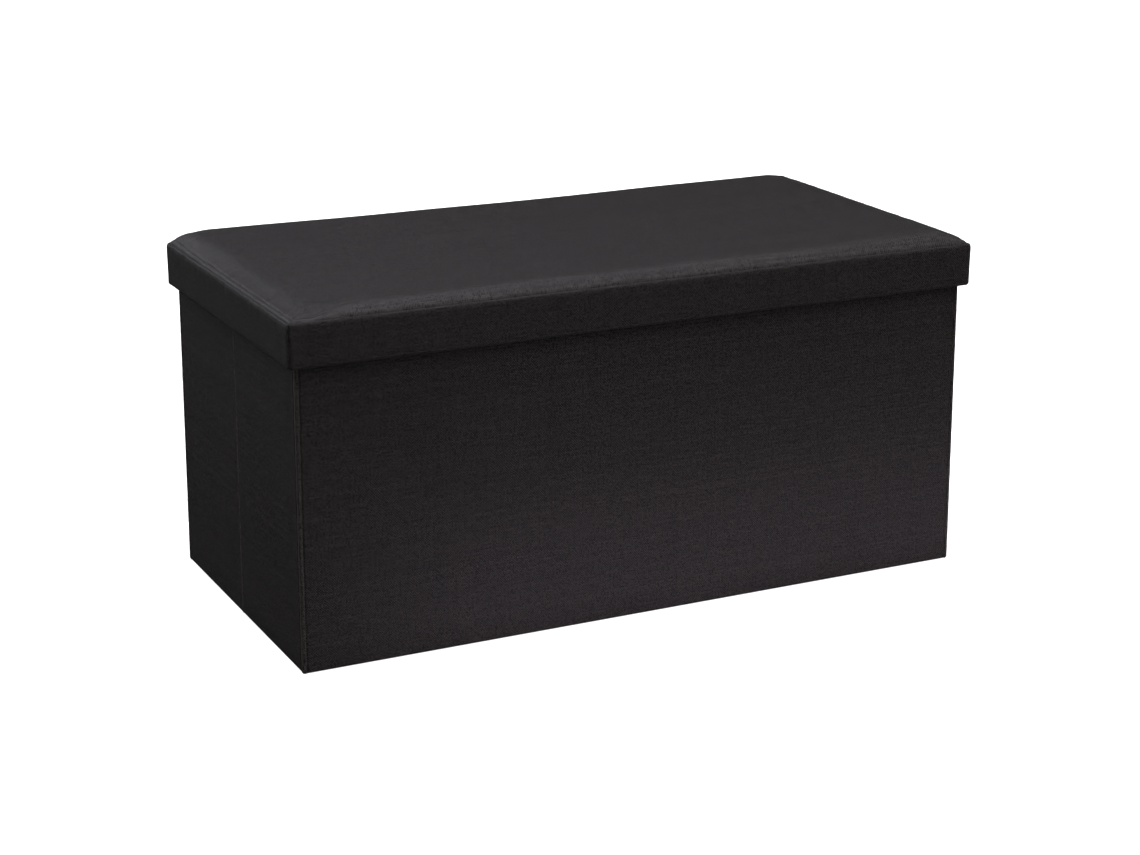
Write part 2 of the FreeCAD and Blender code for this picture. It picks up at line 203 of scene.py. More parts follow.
def upright(plan, levels):
    """Points of a section drawn in plan and swept up through levels."""
    points = np.zeros((len(plan), len(levels), 3))
    points[:, :, :2] = np.array(plan)[:, None, :]
    points[:, :, 2] = levels
    return points


# ---- Materials ----


class Nodes:
    """Short calls for building a material's node tree."""

    def __init__(self, name):
        self.material = bpy.data.materials.new(name)
        self.material.use_nodes = True
        self.tree = self.material.node_tree
        self.tree.nodes.clear()
        self.shader = self.add("ShaderNodeBsdfPrincipled")
        out = self.add("ShaderNodeOutputMaterial")
        self.link(self.shader.outputs["BSDF"], out.inputs["Surface"])

    def add(self, kind, **settings):
        node = self.tree.nodes.new(kind)
        for key, value in settings.items():
            setattr(node, key, value)
        return node

    def link(self, source, target):
        self.tree.links.new(source, target)

    def place(self, kind):
        return self.add("ShaderNodeTexCoord").outputs[kind]

    def texture(self, kind, vector, scale, **settings):
        node = self.add(kind, **settings)
        node.inputs["Scale"].default_value = scale
        self.link(vector, node.inputs["Vector"])
        return node

    def feed(self, socket, value):
        """Joins an output to a socket, or sets a plain number on it."""
        if isinstance(value, bpy.types.NodeSocket):
            self.link(value, socket)
        else:
            socket.default_value = value

    def math(self, operation, *values):
        node = self.add("ShaderNodeMath", operation=operation)
        for socket, value in zip(node.inputs, values):
            self.feed(socket, value)
        return node.outputs[0]

    def product(self, first, *others):
        for other in others:
            first = self.math("MULTIPLY", first, other)
        return first

    def total(self, first, *others):
        for other in others:
            first = self.math("ADD", first, other)
        return first

    def span(self, value, low, high, to_low, to_high):
        """Maps a range of value onto another, clamped."""
        node = self.add("ShaderNodeMapRange")
        for key, number in zip(("From Min", "From Max", "To Min", "To Max"), (low, high, to_low, to_high)):
            node.inputs[key].default_value = number
        self.feed(node.inputs["Value"], value)
        return node.outputs["Result"]

    def blend(self, factor, first, second):
        """A colour between two, each a colour or an output."""
        node = self.add("ShaderNodeMix", data_type="RGBA")
        self.feed(node.inputs["Factor"], factor)
        for key, value in (("A", first), ("B", second)):
            socket = next(s for s in node.inputs if s.name == key and s.type == "RGBA")
            self.feed(socket, value if isinstance(value, bpy.types.NodeSocket) else (*value, 1.0))
        return next(s for s in node.outputs if s.type == "RGBA")

    def noise(self, vector, scale, detail, roughness=0.5):
        node = self.texture("ShaderNodeTexNoise", vector, scale, noise_dimensions="3D")
        node.inputs["Detail"].default_value = detail
        node.inputs["Roughness"].default_value = roughness
        return node.outputs["Fac"]

    def stretched(self, vector, scale):
        node = self.add("ShaderNodeVectorMath", operation="MULTIPLY")
        node.inputs[1].default_value = scale
        self.link(vector, node.inputs[0])
        return node.outputs[0]

    def random(self, value, seed):
        """A number from 0 to 1 that is fixed for each whole number."""
        node = self.add("ShaderNodeTexWhiteNoise", noise_dimensions="1D")
        self.link(self.total(value, seed), node.inputs["W"])
        return node.outputs["Value"]

    def bump(self, height, strength, distance):
        node = self.add("ShaderNodeBump")
        node.inputs["Strength"].default_value = strength
        node.inputs["Distance"].default_value = distance
        self.link(height, node.inputs["Height"])
        self.link(node.outputs["Normal"], self.shader.inputs["Normal"])

    def colour(self, value):
        self.link(value, self.shader.inputs["Base Color"])

    def finish(self, roughness, specular, sheen=0.0, metallic=0.0):
        s = self.shader.inputs
        self.feed(s["Roughness"], roughness)
        s["Specular IOR Level"].default_value = specular
        s["Sheen Weight"].default_value = sheen
        s["Sheen Roughness"].default_value = 0.5
        s["Metallic"].default_value = metallic
        return self.material


# Scales of the cloudy patches: even, and drawn out along Y.
EVEN_MOTTLE, LONG_MOTTLE = (240.0, 240.0, 1.0), (240.0, 85.0, 1.0)


def woven_fabric(name, dark, light, thread=THREAD_PITCH, specular=0.11, highlit_panel=None, mottle=EVEN_MOTTLE):
    """Plain weave of matt yarn, drawn from UVs in metres: each yarn has its own shade, slubs and fuzz.

    The panel whose half sizes are given gets a painted highlight along its edges, growing paler towards
    them. mottle is the cloudiness's scales."""
    n = Nodes(name)
    uv = n.place("UV")
    split = n.add("ShaderNodeSeparateXYZ")
    n.link(uv, split.inputs[0])
    across, number, rise, shade = {}, {}, {}, {}
    # The yarns wander a little, so the rows aren't ruled lines.
    for axis, way in (("X", (31.0, 9.0, 1.0)), ("Y", (9.0, 31.0, 1.0))):
        wander = n.product(n.noise(n.stretched(uv, way), 4.0, 3.0), 1.4)
        across[axis] = n.total(n.math("DIVIDE", split.outputs[axis], thread), wander)
        number[axis] = n.math("FLOOR", across[axis])
        part = n.math("MULTIPLY_ADD", n.math("SUBTRACT", across[axis], number[axis]), 2.0, -1.0)
        rise[axis] = n.math("SUBTRACT", 1.0, n.product(part, part))
    # Warp lies on top where the two yarn numbers add up to an even number.
    weft_up = n.math("FLOORED_MODULO", n.total(number["X"], number["Y"]), 2.0)
    warp_up = n.math("SUBTRACT", 1.0, weft_up)
    # Yarns along X, the warp, are drawn paler and yarns along Y darker: painted light and shade for how
    # yarns lying each way catch the light. The rest of each yarn's tone is its own.
    for axis, seed, grain, warp_weft_light in (
        ("X", 17.0, (420.0, 60.0, 1.0), 0.7),
        ("Y", 53.0, (60.0, 420.0, 1.0), -0.12),
    ):
        own = n.product(n.random(number[axis], seed), 0.3)
        thick = n.span(n.noise(n.stretched(uv, grain), 1.0, 2.0), 0.35, 0.65, 0.0, 1.0)
        shade[axis] = n.total(own, n.product(thick, 0.35), warp_weft_light)
    crown = {}
    for axis, other in (("X", "Y"), ("Y", "X")):
        rounded = n.math("POWER", rise[axis], 0.7)
        crown[axis] = n.product(rounded, n.math("MULTIPLY_ADD", rise[other], 0.4, 0.6))

    def top_yarn(of):
        return n.total(n.product(of["X"], warp_up), n.product(of["Y"], weft_up))

    relief = top_yarn(crown)
    fuzz = n.noise(uv, 2600.0, 2.0, 0.7)
    grain = n.noise(uv, 520.0, 1.0, 0.6)
    patches = n.noise(uv, 14.0, 3.0, 0.6)
    cloudy = n.noise(n.stretched(uv, mottle), 1.0, 3.0, 0.65)
    # The tone is darker where the relief is low, between the yarns' crowns: painted shade in the weave's
    # hollows.
    tone = n.product(
        top_yarn(shade),
        n.span(relief, 0.1, 0.9, 0.45, 1.0),
        n.span(fuzz, 0.3, 0.7, 0.88, 1.12),
        n.span(grain, 0.34, 0.66, 0.1, 1.9),
        n.span(patches, 0.3, 0.7, 0.93, 1.07),
        n.span(cloudy, 0.36, 0.64, 1 - MOTTLE, 1 + MOTTLE),
    )
    # A painted highlight on the panel's rolled edges: the tone grows up to 2.1 times paler towards them,
    # with a ragged inner limit.
    if highlit_panel:
        edges = []
        for axis, half in zip(("X", "Y"), highlit_panel):
            edges.append(n.math("SUBTRACT", n.math("ABSOLUTE", split.outputs[axis]), half))
        outward = n.math("MAXIMUM", *edges)
        ragged_highlight = n.math("MULTIPLY_ADD", n.noise(uv, 60.0, 3.0, 0.6), 0.012, -0.006)
        tone = n.product(tone, n.span(n.total(outward, ragged_highlight), -0.026, -0.006, 1.0, 2.1))
    specks = n.texture("ShaderNodeTexVoronoi", uv, 42.0, voronoi_dimensions="2D")
    # A few lint specks, one in some cells only.
    chosen = n.math("LESS_THAN", n.math("FRACT", n.product(specks.outputs["Color"], 7.31)), 0.12)
    lint = n.product(n.math("LESS_THAN", specks.outputs["Distance"], 0.014), chosen)
    n.colour(n.blend(n.product(lint, 0.55), n.blend(tone, dark, light), (0.09, 0.088, 0.088)))
    n.bump(n.total(relief, n.product(fuzz, 0.2), n.product(cloudy, 1.4)), 0.7, 0.18 * MM)
    return n.finish(0.6, specular)


def thread_material(name, colour):
    """Twisted sewing thread."""
    n = Nodes(name)
    twist = n.texture("ShaderNodeTexWave", n.place("Object"), 700.0, bands_direction="DIAGONAL")
    n.colour(n.blend(twist.outputs["Fac"], [c * 0.6 for c in colour], colour))
    n.bump(twist.outputs["Fac"], 0.5, 0.08 * MM)
    return n.finish(0.6, 0.2, 0.03)


def nonwoven(name, colour):
    """Spunbond sheet: pressed dimples in rows over random fibres."""
    n = Nodes(name)
    place = n.place("Object")
    dimples = n.texture("ShaderNodeTexVoronoi", place, 620.0, voronoi_dimensions="3D")
    dimples.inputs["Randomness"].default_value = 0.25
    dip = n.span(dimples.outputs["Distance"], 0.15, 0.5, 0.0, 1.0)
    fibres = n.noise(n.stretched(place, (1.0, 0.35, 0.6)), 900.0, 4.0, 0.75)
    cloud = n.noise(place, 45.0, 3.0, 0.6)
    tone = n.product(
        n.span(fibres, 0.3, 0.7, 0.6, 1.2),
        n.span(dip, 0.0, 1.0, 0.65, 1.0),
        n.span(cloud, 0.3, 0.7, 0.85, 1.15),
    )
    n.colour(n.blend(tone, [c * 0.3 for c in colour], colour))
    n.bump(n.total(dip, n.product(fibres, 0.5)), 0.5, 0.12 * MM)
    return n.finish(0.75, 0.25, 0.08)


def fibreboard(name):
    """Pressed wood fibre: short flecks and a slow change of tone."""
    n = Nodes(name)
    place = n.place("Object")
    flecks = n.noise(n.stretched(place, (1.0, 0.6, 0.8)), 700.0, 5.0, 0.75)
    cloud = n.noise(place, 22.0, 3.0, 0.5)
    tone = n.product(n.span(flecks, 0.3, 0.7, 0.3, 1.0), n.span(cloud, 0.3, 0.7, 0.8, 1.1))
    n.colour(n.blend(tone, (0.16, 0.1, 0.055), (0.42, 0.3, 0.19)))
    n.bump(flecks, 0.35, 0.15 * MM)
    return n.finish(n.span(flecks, 0.3, 0.7, 0.65, 0.85), 0.3)


def staple_steel(name):
    """Drawn wire with fine scratches."""
    n = Nodes(name)
    scratch = n.noise(n.stretched(n.place("Object"), (1.0, 1.0, 8.0)), 1500.0, 3.0, 0.7)
    n.colour(n.blend(scratch, (0.38, 0.38, 0.39), (0.68, 0.68, 0.69)))
    n.bump(scratch, 0.2, 0.02 * MM)
    return n.finish(n.span(scratch, 0.3, 0.7, 0.28, 0.45), 0.5, metallic=1.0)


# The darkest and the palest tone of the black yarn.
BLACK_DARK, BLACK_LIGHT = (0.0006, 0.0005, 0.0006), (0.0213, 0.0186, 0.0178)


def paler(times):
    return [c * times for c in BLACK_LIGHT]


cover_fabric = woven_fabric("cover_fabric", BLACK_DARK, BLACK_LIGHT)
# The corner seams' cloth is drawn 1.7 times paler than the covers: a painted highlight on the rounded
# corners.
seam_fabric = woven_fabric("seam_fabric", BLACK_DARK, paler(1.7))
# The lid's top panel gets a painted highlight along its rolled edges.
pad_fabric = woven_fabric(
    "pad_fabric", BLACK_DARK, BLACK_LIGHT, highlit_panel=(LID_HALF_X, LID_HALF_Y), mottle=LONG_MOTTLE
)
# The crease strips' cloth is drawn 2.2 times paler: a painted highlight on the creases.
crease_highlight_fabric = woven_fabric("crease_highlight_fabric", BLACK_DARK, paler(2.2))
webbing_fabric = woven_fabric("webbing_fabric", BLACK_DARK, paler(1.2), thread=1.6 * MM, specular=0.3)
# The stitches are real black thread, drawn darker than the cloth as painted shade for the needle holes they
# sink into.
black_thread_and_hole_shade = thread_material("black_thread_and_hole_shade", (0.008, 0.0075, 0.008))
lining_cloth = nonwoven("lining_cloth", (0.03, 0.03, 0.032))
wrap_cloth = nonwoven("wrap_cloth", (0.026, 0.026, 0.028))
raw_board = fibreboard("raw_board")
bright_wire = staple_steel("bright_wire")

# ---- Stitches ----


def stitch_row(centres, along, out, size=(2.0, 0.55, 0.4)):
    """Vertices and faces of small rounded stitches: along gives each one's length, and out its height.

    size is the length, the width and the height of a stitch, in millimetres."""
    length, width, height = (s * MM for s in size)
    rings = ((-0.5, 0.35), (-0.3, 0.9), (0.3, 0.9), (0.5, 0.35))
    sides = 6
    vertices, faces = [], []
    for centre, way, up in zip(centres, along, out):
        way = way / np.linalg.norm(way)
        side = np.cross(up, way)
        base = len(vertices)
        for position, fat in rings:
            for k in range(sides):
                turn = TAU * k / sides
                sideways = side * (math.cos(turn) * width / 2 * fat)
                upwards = up * (math.sin(turn) * height / 2 * fat)
                vertices.append(centre + way * (position * length) + (sideways + upwards))
        for ring in range(len(rings) - 1):
            for k in range(sides):
                a, b = base + ring * sides + k, base + ring * sides + (k + 1) % sides
                faces.append((a, b, b + sides, a + sides))
        faces.append(tuple(base + k for k in reversed(range(sides))))
        faces.append(tuple(base + (len(rings) - 1) * sides + k for k in range(sides)))
    return vertices, faces


def stitches(name, rows, body):
    """One object of all the stitch rows, riding on a body. Each row is a stitch_row result."""
    vertices, faces = [], []
    for row_vertices, row_faces in rows:
        base = len(vertices)
        vertices += row_vertices
        faces += [tuple(base + i for i in face) for face in row_faces]
    obj = new_object(name, vertices, faces, black_thread_and_hole_shade)
    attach(obj, body)


def stations_between(low, high):
    """Evenly spaced stitches between two ends."""
    count = max(2, round((high - low) / STITCH_PITCH))
    return low + (np.arange(count) + 0.5) * (high - low) / count


# ---- The lid's pad and top panel ----

# How high the pad stands over the seam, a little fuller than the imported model's.
PAD_RISE = LID_TOP - SEAM_Z + 3.6 * MM
# The skirts roll over the lid's edge, so the seam lies a little in from their faces.
SEAM_IN = 1.8 * MM
PAD_HALF_X, PAD_HALF_Y = LID_HALF_X - SEAM_IN, LID_HALF_Y - SEAM_IN
PAD_CORNER = LID_CORNER - SEAM_IN
# Half length, half depth and corner radius in plan.
PAD_OUTLINE, LID_OUTLINE = (PAD_HALF_X, PAD_HALF_Y, PAD_CORNER), (LID_HALF_X, LID_HALF_Y, LID_CORNER)
# How far in the pad takes to reach its full height, past the topstitch and where nothing pulls it down.
ROUND_RUN = 24.0 * MM
LOOSE_RUN = 18.0 * MM
# Shares of the topstitch's pull: at the front left corner, at the other corners and along the long sides.
FULL_PINCH, CORNER_PINCH, LONG_PINCH = 0.95, 0.45, 0.04
# Where the rolled edge's rings end and the plain grid of the middle begins.
CORE_INSET = 34.0 * MM
# How far in from the seam the topstitch runs, in millimetres, at each side's two ends from left to right.
TOPSTITCH_INSET = {"front": (7.5, 5.5), "right": (5.5, 5.5), "back": (5.5, 5.0), "left": (5.0, 7.5)}
SIDES = ("front", "right", "back", "left")
SIDE_TURN = {"front": 0, "right": 1, "back": 2, "left": 3}


def side_frame(side):
    """The way along a side, seen from outside left to right, and the way out of it."""
    turn = SIDE_TURN[side] * QUARTER
    along = np.array([round(math.cos(turn)), round(math.sin(turn)), 0.0])
    out = np.array([along[1], -along[0], 0.0])
    return along, out


def side_halves(side, half_x, half_y):
    """Half the length of a side, and how far out its face is."""
    return (half_x, half_y) if side in ("front", "back") else (half_y, half_x)


def side_path(side, half_x, half_y, radius, stations):
    """Places, ways along and ways out for a side that ends at the middle of each rounded corner.

    A station is a place along the side from its middle, measured on the arc past the straight run."""
    half, reach = side_halves(side, half_x, half_y)
    along, out = side_frame(side)
    straight = half - radius
    over = np.maximum(np.abs(stations) - straight, 0.0) / radius
    sign = np.sign(stations)
    a = np.clip(stations, -straight, straight) + sign * radius * np.sin(over)
    o = reach - radius + radius * np.cos(over)
    places = a[:, None] * along + o[:, None] * out
    outs = (sign * np.sin(over))[:, None] * along + np.cos(over)[:, None] * out
    ways = np.cross(UP, outs)
    return places, ways, outs


def side_end(side, half_x, half_y, radius):
    """The station of the corner's middle."""
    return side_halves(side, half_x, half_y)[0] - radius + radius * math.pi / 4


def topstitch_inset(side, station, half):
    """The topstitch wanders between its two end values, in metres."""
    first, last = TOPSTITCH_INSET[side]
    share = (station / half + 1) / 2
    wobble = 0.35 * ripple(station, 0.05, 0.4, SIDE_TURN[side] + 40)
    return (first + (last - first) * share + wobble) * MM


def pinch_share(side, stations, half):
    """How far the topstitch pulls the edge down: most at the front left, least along the long sides."""
    if side == "right":
        return np.full_like(stations, CORNER_PINCH)
    if side == "left":
        return CORNER_PINCH + (FULL_PINCH - CORNER_PINCH) * smooth((stations / half + 1) / 0.6)
    slight = LONG_PINCH + (CORNER_PINCH - LONG_PINCH) * bell(half - np.abs(stations), 14 * MM)
    if side == "back":
        return slight
    near_left = 1 - smooth((stations + half - 14 * MM) / (38 * MM))
    return np.maximum(slight, LONG_PINCH + (FULL_PINCH - LONG_PINCH) * near_left)


def edge_height(inward, inset, pinched, near_corner, pucker):
    """Height of the top panel above the seam, going in from it.

    A pinched edge has a ridge, the topstitch's groove and the pad's shoulder. A loose one just rolls up."""
    foot = 3.6 * MM + 0.35 * MM * pucker
    share = np.clip(inward / inset, 0.0, 1.0)
    ridge = foot * (1 - (1 - share) ** 1.9) - 0.3 * MM * share**3
    beyond = np.clip((inward - inset) / ROUND_RUN, 0.0, 1.0)
    shoulder = foot - 0.3 * MM + (PAD_RISE - foot + 0.3 * MM) * smooth(0.12 + 0.88 * beyond)
    stitched = np.where(inward < inset, ridge, shoulder) - 1.5 * MM * bell(inward - inset, 1.2 * MM)
    loose = PAD_RISE * (1 - (1 - np.clip(inward / LOOSE_RUN, 0.0, 1.0)) ** 2.3)
    height = loose + (stitched - loose) * pinched
    return height - 0.3 * MM * near_corner * bell(inward - inset / 2, inset / 2)


SETTLE_COLUMNS, SETTLE_ROWS, SETTLE_FRAMES = 109, 55, 20


def settle_cloth():
    """Simulates the top panel's cloth, sewn down at its edge and a little too large, pressed onto the foam.
"""
    columns = np.linspace(-PAD_HALF_X, PAD_HALF_X, SETTLE_COLUMNS)
    rows = np.linspace(-PAD_HALF_Y, PAD_HALF_Y, SETTLE_ROWS)
    grid_x, grid_y = np.meshgrid(columns, rows)
    start = 0.4 * MM * slack_field(grid_x, grid_y, 0.05, 0.2, 8)
    edge = (np.abs(grid_x) > PAD_HALF_X - MM) | (np.abs(grid_y) > PAD_HALF_Y - MM)
    start[edge] = 0
    index = np.arange(grid_x.size).reshape(grid_x.shape)
    corners = (index[:-1, :-1], index[:-1, 1:], index[1:, 1:], index[1:, :-1])
    faces = np.stack(corners, axis=2).reshape(-1, 4)
    vertices = np.stack([grid_x, grid_y, start], axis=2).reshape(-1, 3)
    panel = new_object("settling_panel", vertices, faces, cover_fabric)
    pins = panel.vertex_groups.new(name="sewn")
    pins.add([int(i) for i in index[edge]], 1.0, "REPLACE")
    cloth = panel.modifiers.new("cloth", "CLOTH")
    settings = cloth.settings
    settings.quality = 5
    settings.mass = 0.15
    settings.tension_stiffness = settings.compression_stiffness = 12
    settings.shear_stiffness = 4
    settings.bending_stiffness = 0.6
    settings.vertex_group_mass = "sewn"
    settings.shrink_min = -0.002
    settings.use_pressure = True
    settings.uniform_pressure_force = -4
    settings.effector_weights.gravity = 0
    scene = bpy.context.scene
    for frame_number in range(1, SETTLE_FRAMES + 1):
        scene.frame_set(frame_number)
    settled = panel.evaluated_get(bpy.context.evaluated_depsgraph_get())
    depth = -np.array([v.co.z for v in settled.data.vertices]).reshape(grid_x.shape)
    scene.frame_set(1)
    mesh = panel.data
    bpy.data.objects.remove(panel)
    bpy.data.meshes.remove(mesh)
    depth = np.clip(depth, 0, np.percentile(depth, 99.5))
    return depth / depth.max()


SETTLED = settle_cloth()


def settled_depth(x, y):
    """The settled cloth's depth at places on the lid, from 0 at its edge to 1 at its deepest."""
    u, v = x / LID_HALF_X, y / LID_HALF_Y
    if SETTLED is None:
        return np.cos(math.pi * u / 2) ** 2 * np.cos(math.pi * v / 2)
    column = np.clip((x / PAD_HALF_X + 1) / 2, 0, 1) * (SETTLE_COLUMNS - 1)
    row = np.clip((y / PAD_HALF_Y + 1) / 2, 0, 1) * (SETTLE_ROWS - 1)
    left = np.clip(np.floor(column).astype(int), 0, SETTLE_COLUMNS - 2)
    below = np.clip(np.floor(row).astype(int), 0, SETTLE_ROWS - 2)
    part_x, part_y = column - left, row - below
    near = SETTLED[below, left] * (1 - part_x) + SETTLED[below, left + 1] * part_x
    far = SETTLED[below + 1, left] * (1 - part_x) + SETTLED[below + 1, left + 1] * part_x
    return near * (1 - part_y) + far * part_y


def pad_slack(x, y):
    """The loose cloth's slow rise and fall over the foam: a shallow sag, and fuller ends."""
    u, v = x / LID_HALF_X, y / LID_HALF_Y
    sag = -1.8 * MM * settled_depth(x, y)
    full = MM * (1.6 * bell(u + 0.86, 0.2) + 3.0 * bell(u - 0.9, 0.16)) * np.cos(math.pi * v / 2) ** 0.3
    uneven = 0.45 * MM * slack_field(x, y, 0.09, 0.33, 5)
    # One faint crease near the back, left by folding.
    crease_x, crease_y = -35 * MM, 95 * MM
    away = (x - crease_x) * math.cos(0.25) + (y - crease_y) * math.sin(0.25)
    length = -(x - crease_x) * math.sin(0.25) + (y - crease_y) * math.cos(0.25)
    crease = 0.35 * MM * bell(away, 2.2 * MM) * bell(length, 45 * MM)
    corner = np.hypot(LID_HALF_X - np.abs(x), LID_HALF_Y - np.abs(y))
    pulled = -0.6 * MM * bell(corner, 30 * MM)
    # The cloth comes down slowly to the left edge at its front end, and stands full at its back end.
    pulled -= 5.5 * MM * bell(x + LID_HALF_X, 85 * MM) * (1 - smooth((y + 80 * MM) / (210 * MM)))
    pulled += 2.6 * MM * bell(x + LID_HALF_X, 170 * MM) * smooth(y / (150 * MM))
    return pulled + (sag + full + uneven) * smooth((1 - np.maximum(np.abs(u), np.abs(v))) * 8) + crease


# The pad's side below the seam: (how far in from the lid's outline, height).
PAD_BEND = 338.4 * MM
PAD_SKIRT = (
    (4.4 * MM, BOARD_HIGH.z + 0.2 * MM),
    (4.4 * MM, PAD_BEND),
    (1.7 * MM, PAD_BEND),
    (1.7 * MM, SEAM_Z - 3 * MM),
)


def edge_rings(insets):
    """How far in each ring of the panel's edge lies: close together at the seam and the topstitch."""
    fixed = [0.0, 0.4, 0.9, 1.6, 2.5, 3.4]
    about_stitch = [-1.2, -0.8, -0.45, -0.2, 0, 0.2, 0.45, 0.8, 1.2]
    about_stitch += [2, 3, 4.2, 5.6, 7.2, 9, 11, 13.5, 16.5, 20]
    rings = [np.full_like(insets, step * MM) for step in fixed]
    rings += [insets + step * MM for step in about_stitch]
    return rings + [np.full_like(insets, CORE_INSET)]


def pad_edges(runs):
    """What each station round the pad needs: seam, core, way out, topstitch inset, pinch and waves.

    runs holds each side's stations along the core's rim."""
    edges = []
    for side in SIDES:
        half, reach = side_halves(side, PAD_HALF_X, PAD_HALF_Y)
        end = side_end(side, *PAD_OUTLINE)
        core_run = runs[side]
        stations = core_run / core_run[-1] * end
        places, _, outs = side_path(side, *PAD_OUTLINE, stations)
        along, out = side_frame(side)
        inner = core_run[:, None] * along + (reach - CORE_INSET) * out
        inset = topstitch_inset(side, stations, half)
        pinched = pinch_share(side, stations, half)
        near_corner = bell(half - np.abs(stations), 6 * MM)
        pucker = ripple(stations, 0.011, 0.045, SIDE_TURN[side] + 11)
        # Each side leaves out its last station, which is the next side's first.
        edges.append([line[:-1] for line in (places, inner, outs, inset, pinched, near_corner, pucker)])
    return [np.concatenate(lines) for lines in zip(*edges)]


def lid_pad():
    """The pad under its top panel: a closed form whose rolled edge ends in the seam."""
    core_x = uneven_steps(-PAD_HALF_X + CORE_INSET, PAD_HALF_X - CORE_INSET, 1.3 * MM, 4.5 * MM, 0.05)
    core_y = uneven_steps(-PAD_HALF_Y + CORE_INSET, PAD_HALF_Y - CORE_INSET, 1.3 * MM, 4.5 * MM, 0.04)
    edges = pad_edges({"front": core_x, "right": core_y, "back": core_x, "left": core_y})
    seam, core, outs, insets, pinched, near_corner, pucker = edges
    around = len(seam)

    rings = []
    # Below the seam the cloth steps in behind the skirts and ends on the board.
    for depth, level in PAD_SKIRT:
        ring = seam - outs * (depth - SEAM_IN)
        ring[:, 2] = level
        rings.append(ring)
    for inward in edge_rings(insets):
        share = (inward / CORE_INSET)[:, None]
        ring = seam + (core - seam) * share
        lift = edge_height(inward, insets, pinched, near_corner, pucker)
        ring = ring - outs * (0.9 * MM * bell(inward, 0.9 * MM))[:, None]
        slack = pad_slack(ring[:, 0], ring[:, 1]) * smooth(share[:, 0] * 1.6)
        ring[:, 2] = SEAM_Z - 0.3 * MM + lift + slack
        rings.append(ring)

    columns, rows = len(core_x), len(core_y)
    grid_x, grid_y = np.meshgrid(core_x, core_y)
    inside = np.stack([grid_x, grid_y, SEAM_Z - 0.3 * MM + PAD_RISE + pad_slack(grid_x, grid_y)], axis=2)

    # The grid in the middle shares the innermost ring's vertices round its rim.
    vertices = [v for ring in rings for v in ring]
    index = np.full((rows, columns), -1)
    last = (len(rings) - 1) * around
    rim = [(0, c) for c in range(columns - 1)] + [(r, columns - 1) for r in range(rows - 1)]
    rim += [(rows - 1, c) for c in range(columns - 1, 0, -1)] + [(r, 0) for r in range(rows - 1, 0, -1)]
    for step, (r, c) in enumerate(rim):
        index[r, c] = last + step
    for r in range(1, rows - 1):
        for c in range(1, columns - 1):
            index[r, c] = len(vertices)
            vertices.append(inside[r, c])

    faces = [tuple(reversed(range(around)))] + band_faces(len(rings), around)
    for r in range(rows - 1):
        for c in range(columns - 1):
            faces.append((index[r, c], index[r, c + 1], index[r + 1, c + 1], index[r + 1, c]))
    vertices = np.array(vertices)
    face_uvs = [[vertices[i][:2] for i in face] for face in faces]
    pad = new_object("lid_pad", vertices, faces, pad_fabric, face_uvs)
    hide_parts("lid_foam", "lid_top_cover")
    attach(pad, "lid")


def skirt_profile(top):
    """Section of a skirt, outside first, and how many of its points are outside.

    Each is (how far out from the lid's outline in millimetres, height, share of looseness)."""
    hem_radius = 1.7 * MM
    profile = [(-2.9, top - 1.8 * MM, 0), (-2.3, top - 0.9 * MM, 0), (-1.9, top - 0.1 * MM, 0.2)]
    profile += [(-1.3, top + 0.25 * MM, 0.5), (-0.75, top - 0.1 * MM, 0.8), (-0.3, top - 0.9 * MM, 1.0)]
    profile += [(0.05, top - 2.2 * MM, 1.0), (0.35, top - 4.0 * MM, 1.0)]
    levels = np.linspace(top - 7 * MM, HEM_Z + hem_radius, 9)
    for level in levels:
        share = (level - HEM_Z) / (top - HEM_Z)
        profile.append((0.75 * share**2 - 0.15, level, share))
    for turn in np.linspace(0, QUARTER, 5)[1:]:
        inward = hem_radius / MM * (1 - math.cos(turn))
        profile.append((-0.15 - inward, HEM_Z + hem_radius * (1 - math.sin(turn)), 0))
    profile += [(-2.9, HEM_Z, 0), (-3.5, HEM_Z + 0.25 * MM, 0), (-3.95, HEM_Z + 0.9 * MM, 0)]
    outside = len(profile)
    profile += [(-3.95, HEM_Z + 3.0 * MM, 0), (-3.3, HEM_Z + 3.0 * MM, 0), (-3.1, HEM_Z + 1.2 * MM, 0)]
    profile += [(-1.2, HEM_Z + 1.2 * MM, 0), (-1.0, top - 12 * MM, 0), (-1.2, top - 3.0 * MM, 0)]
    return profile, outside


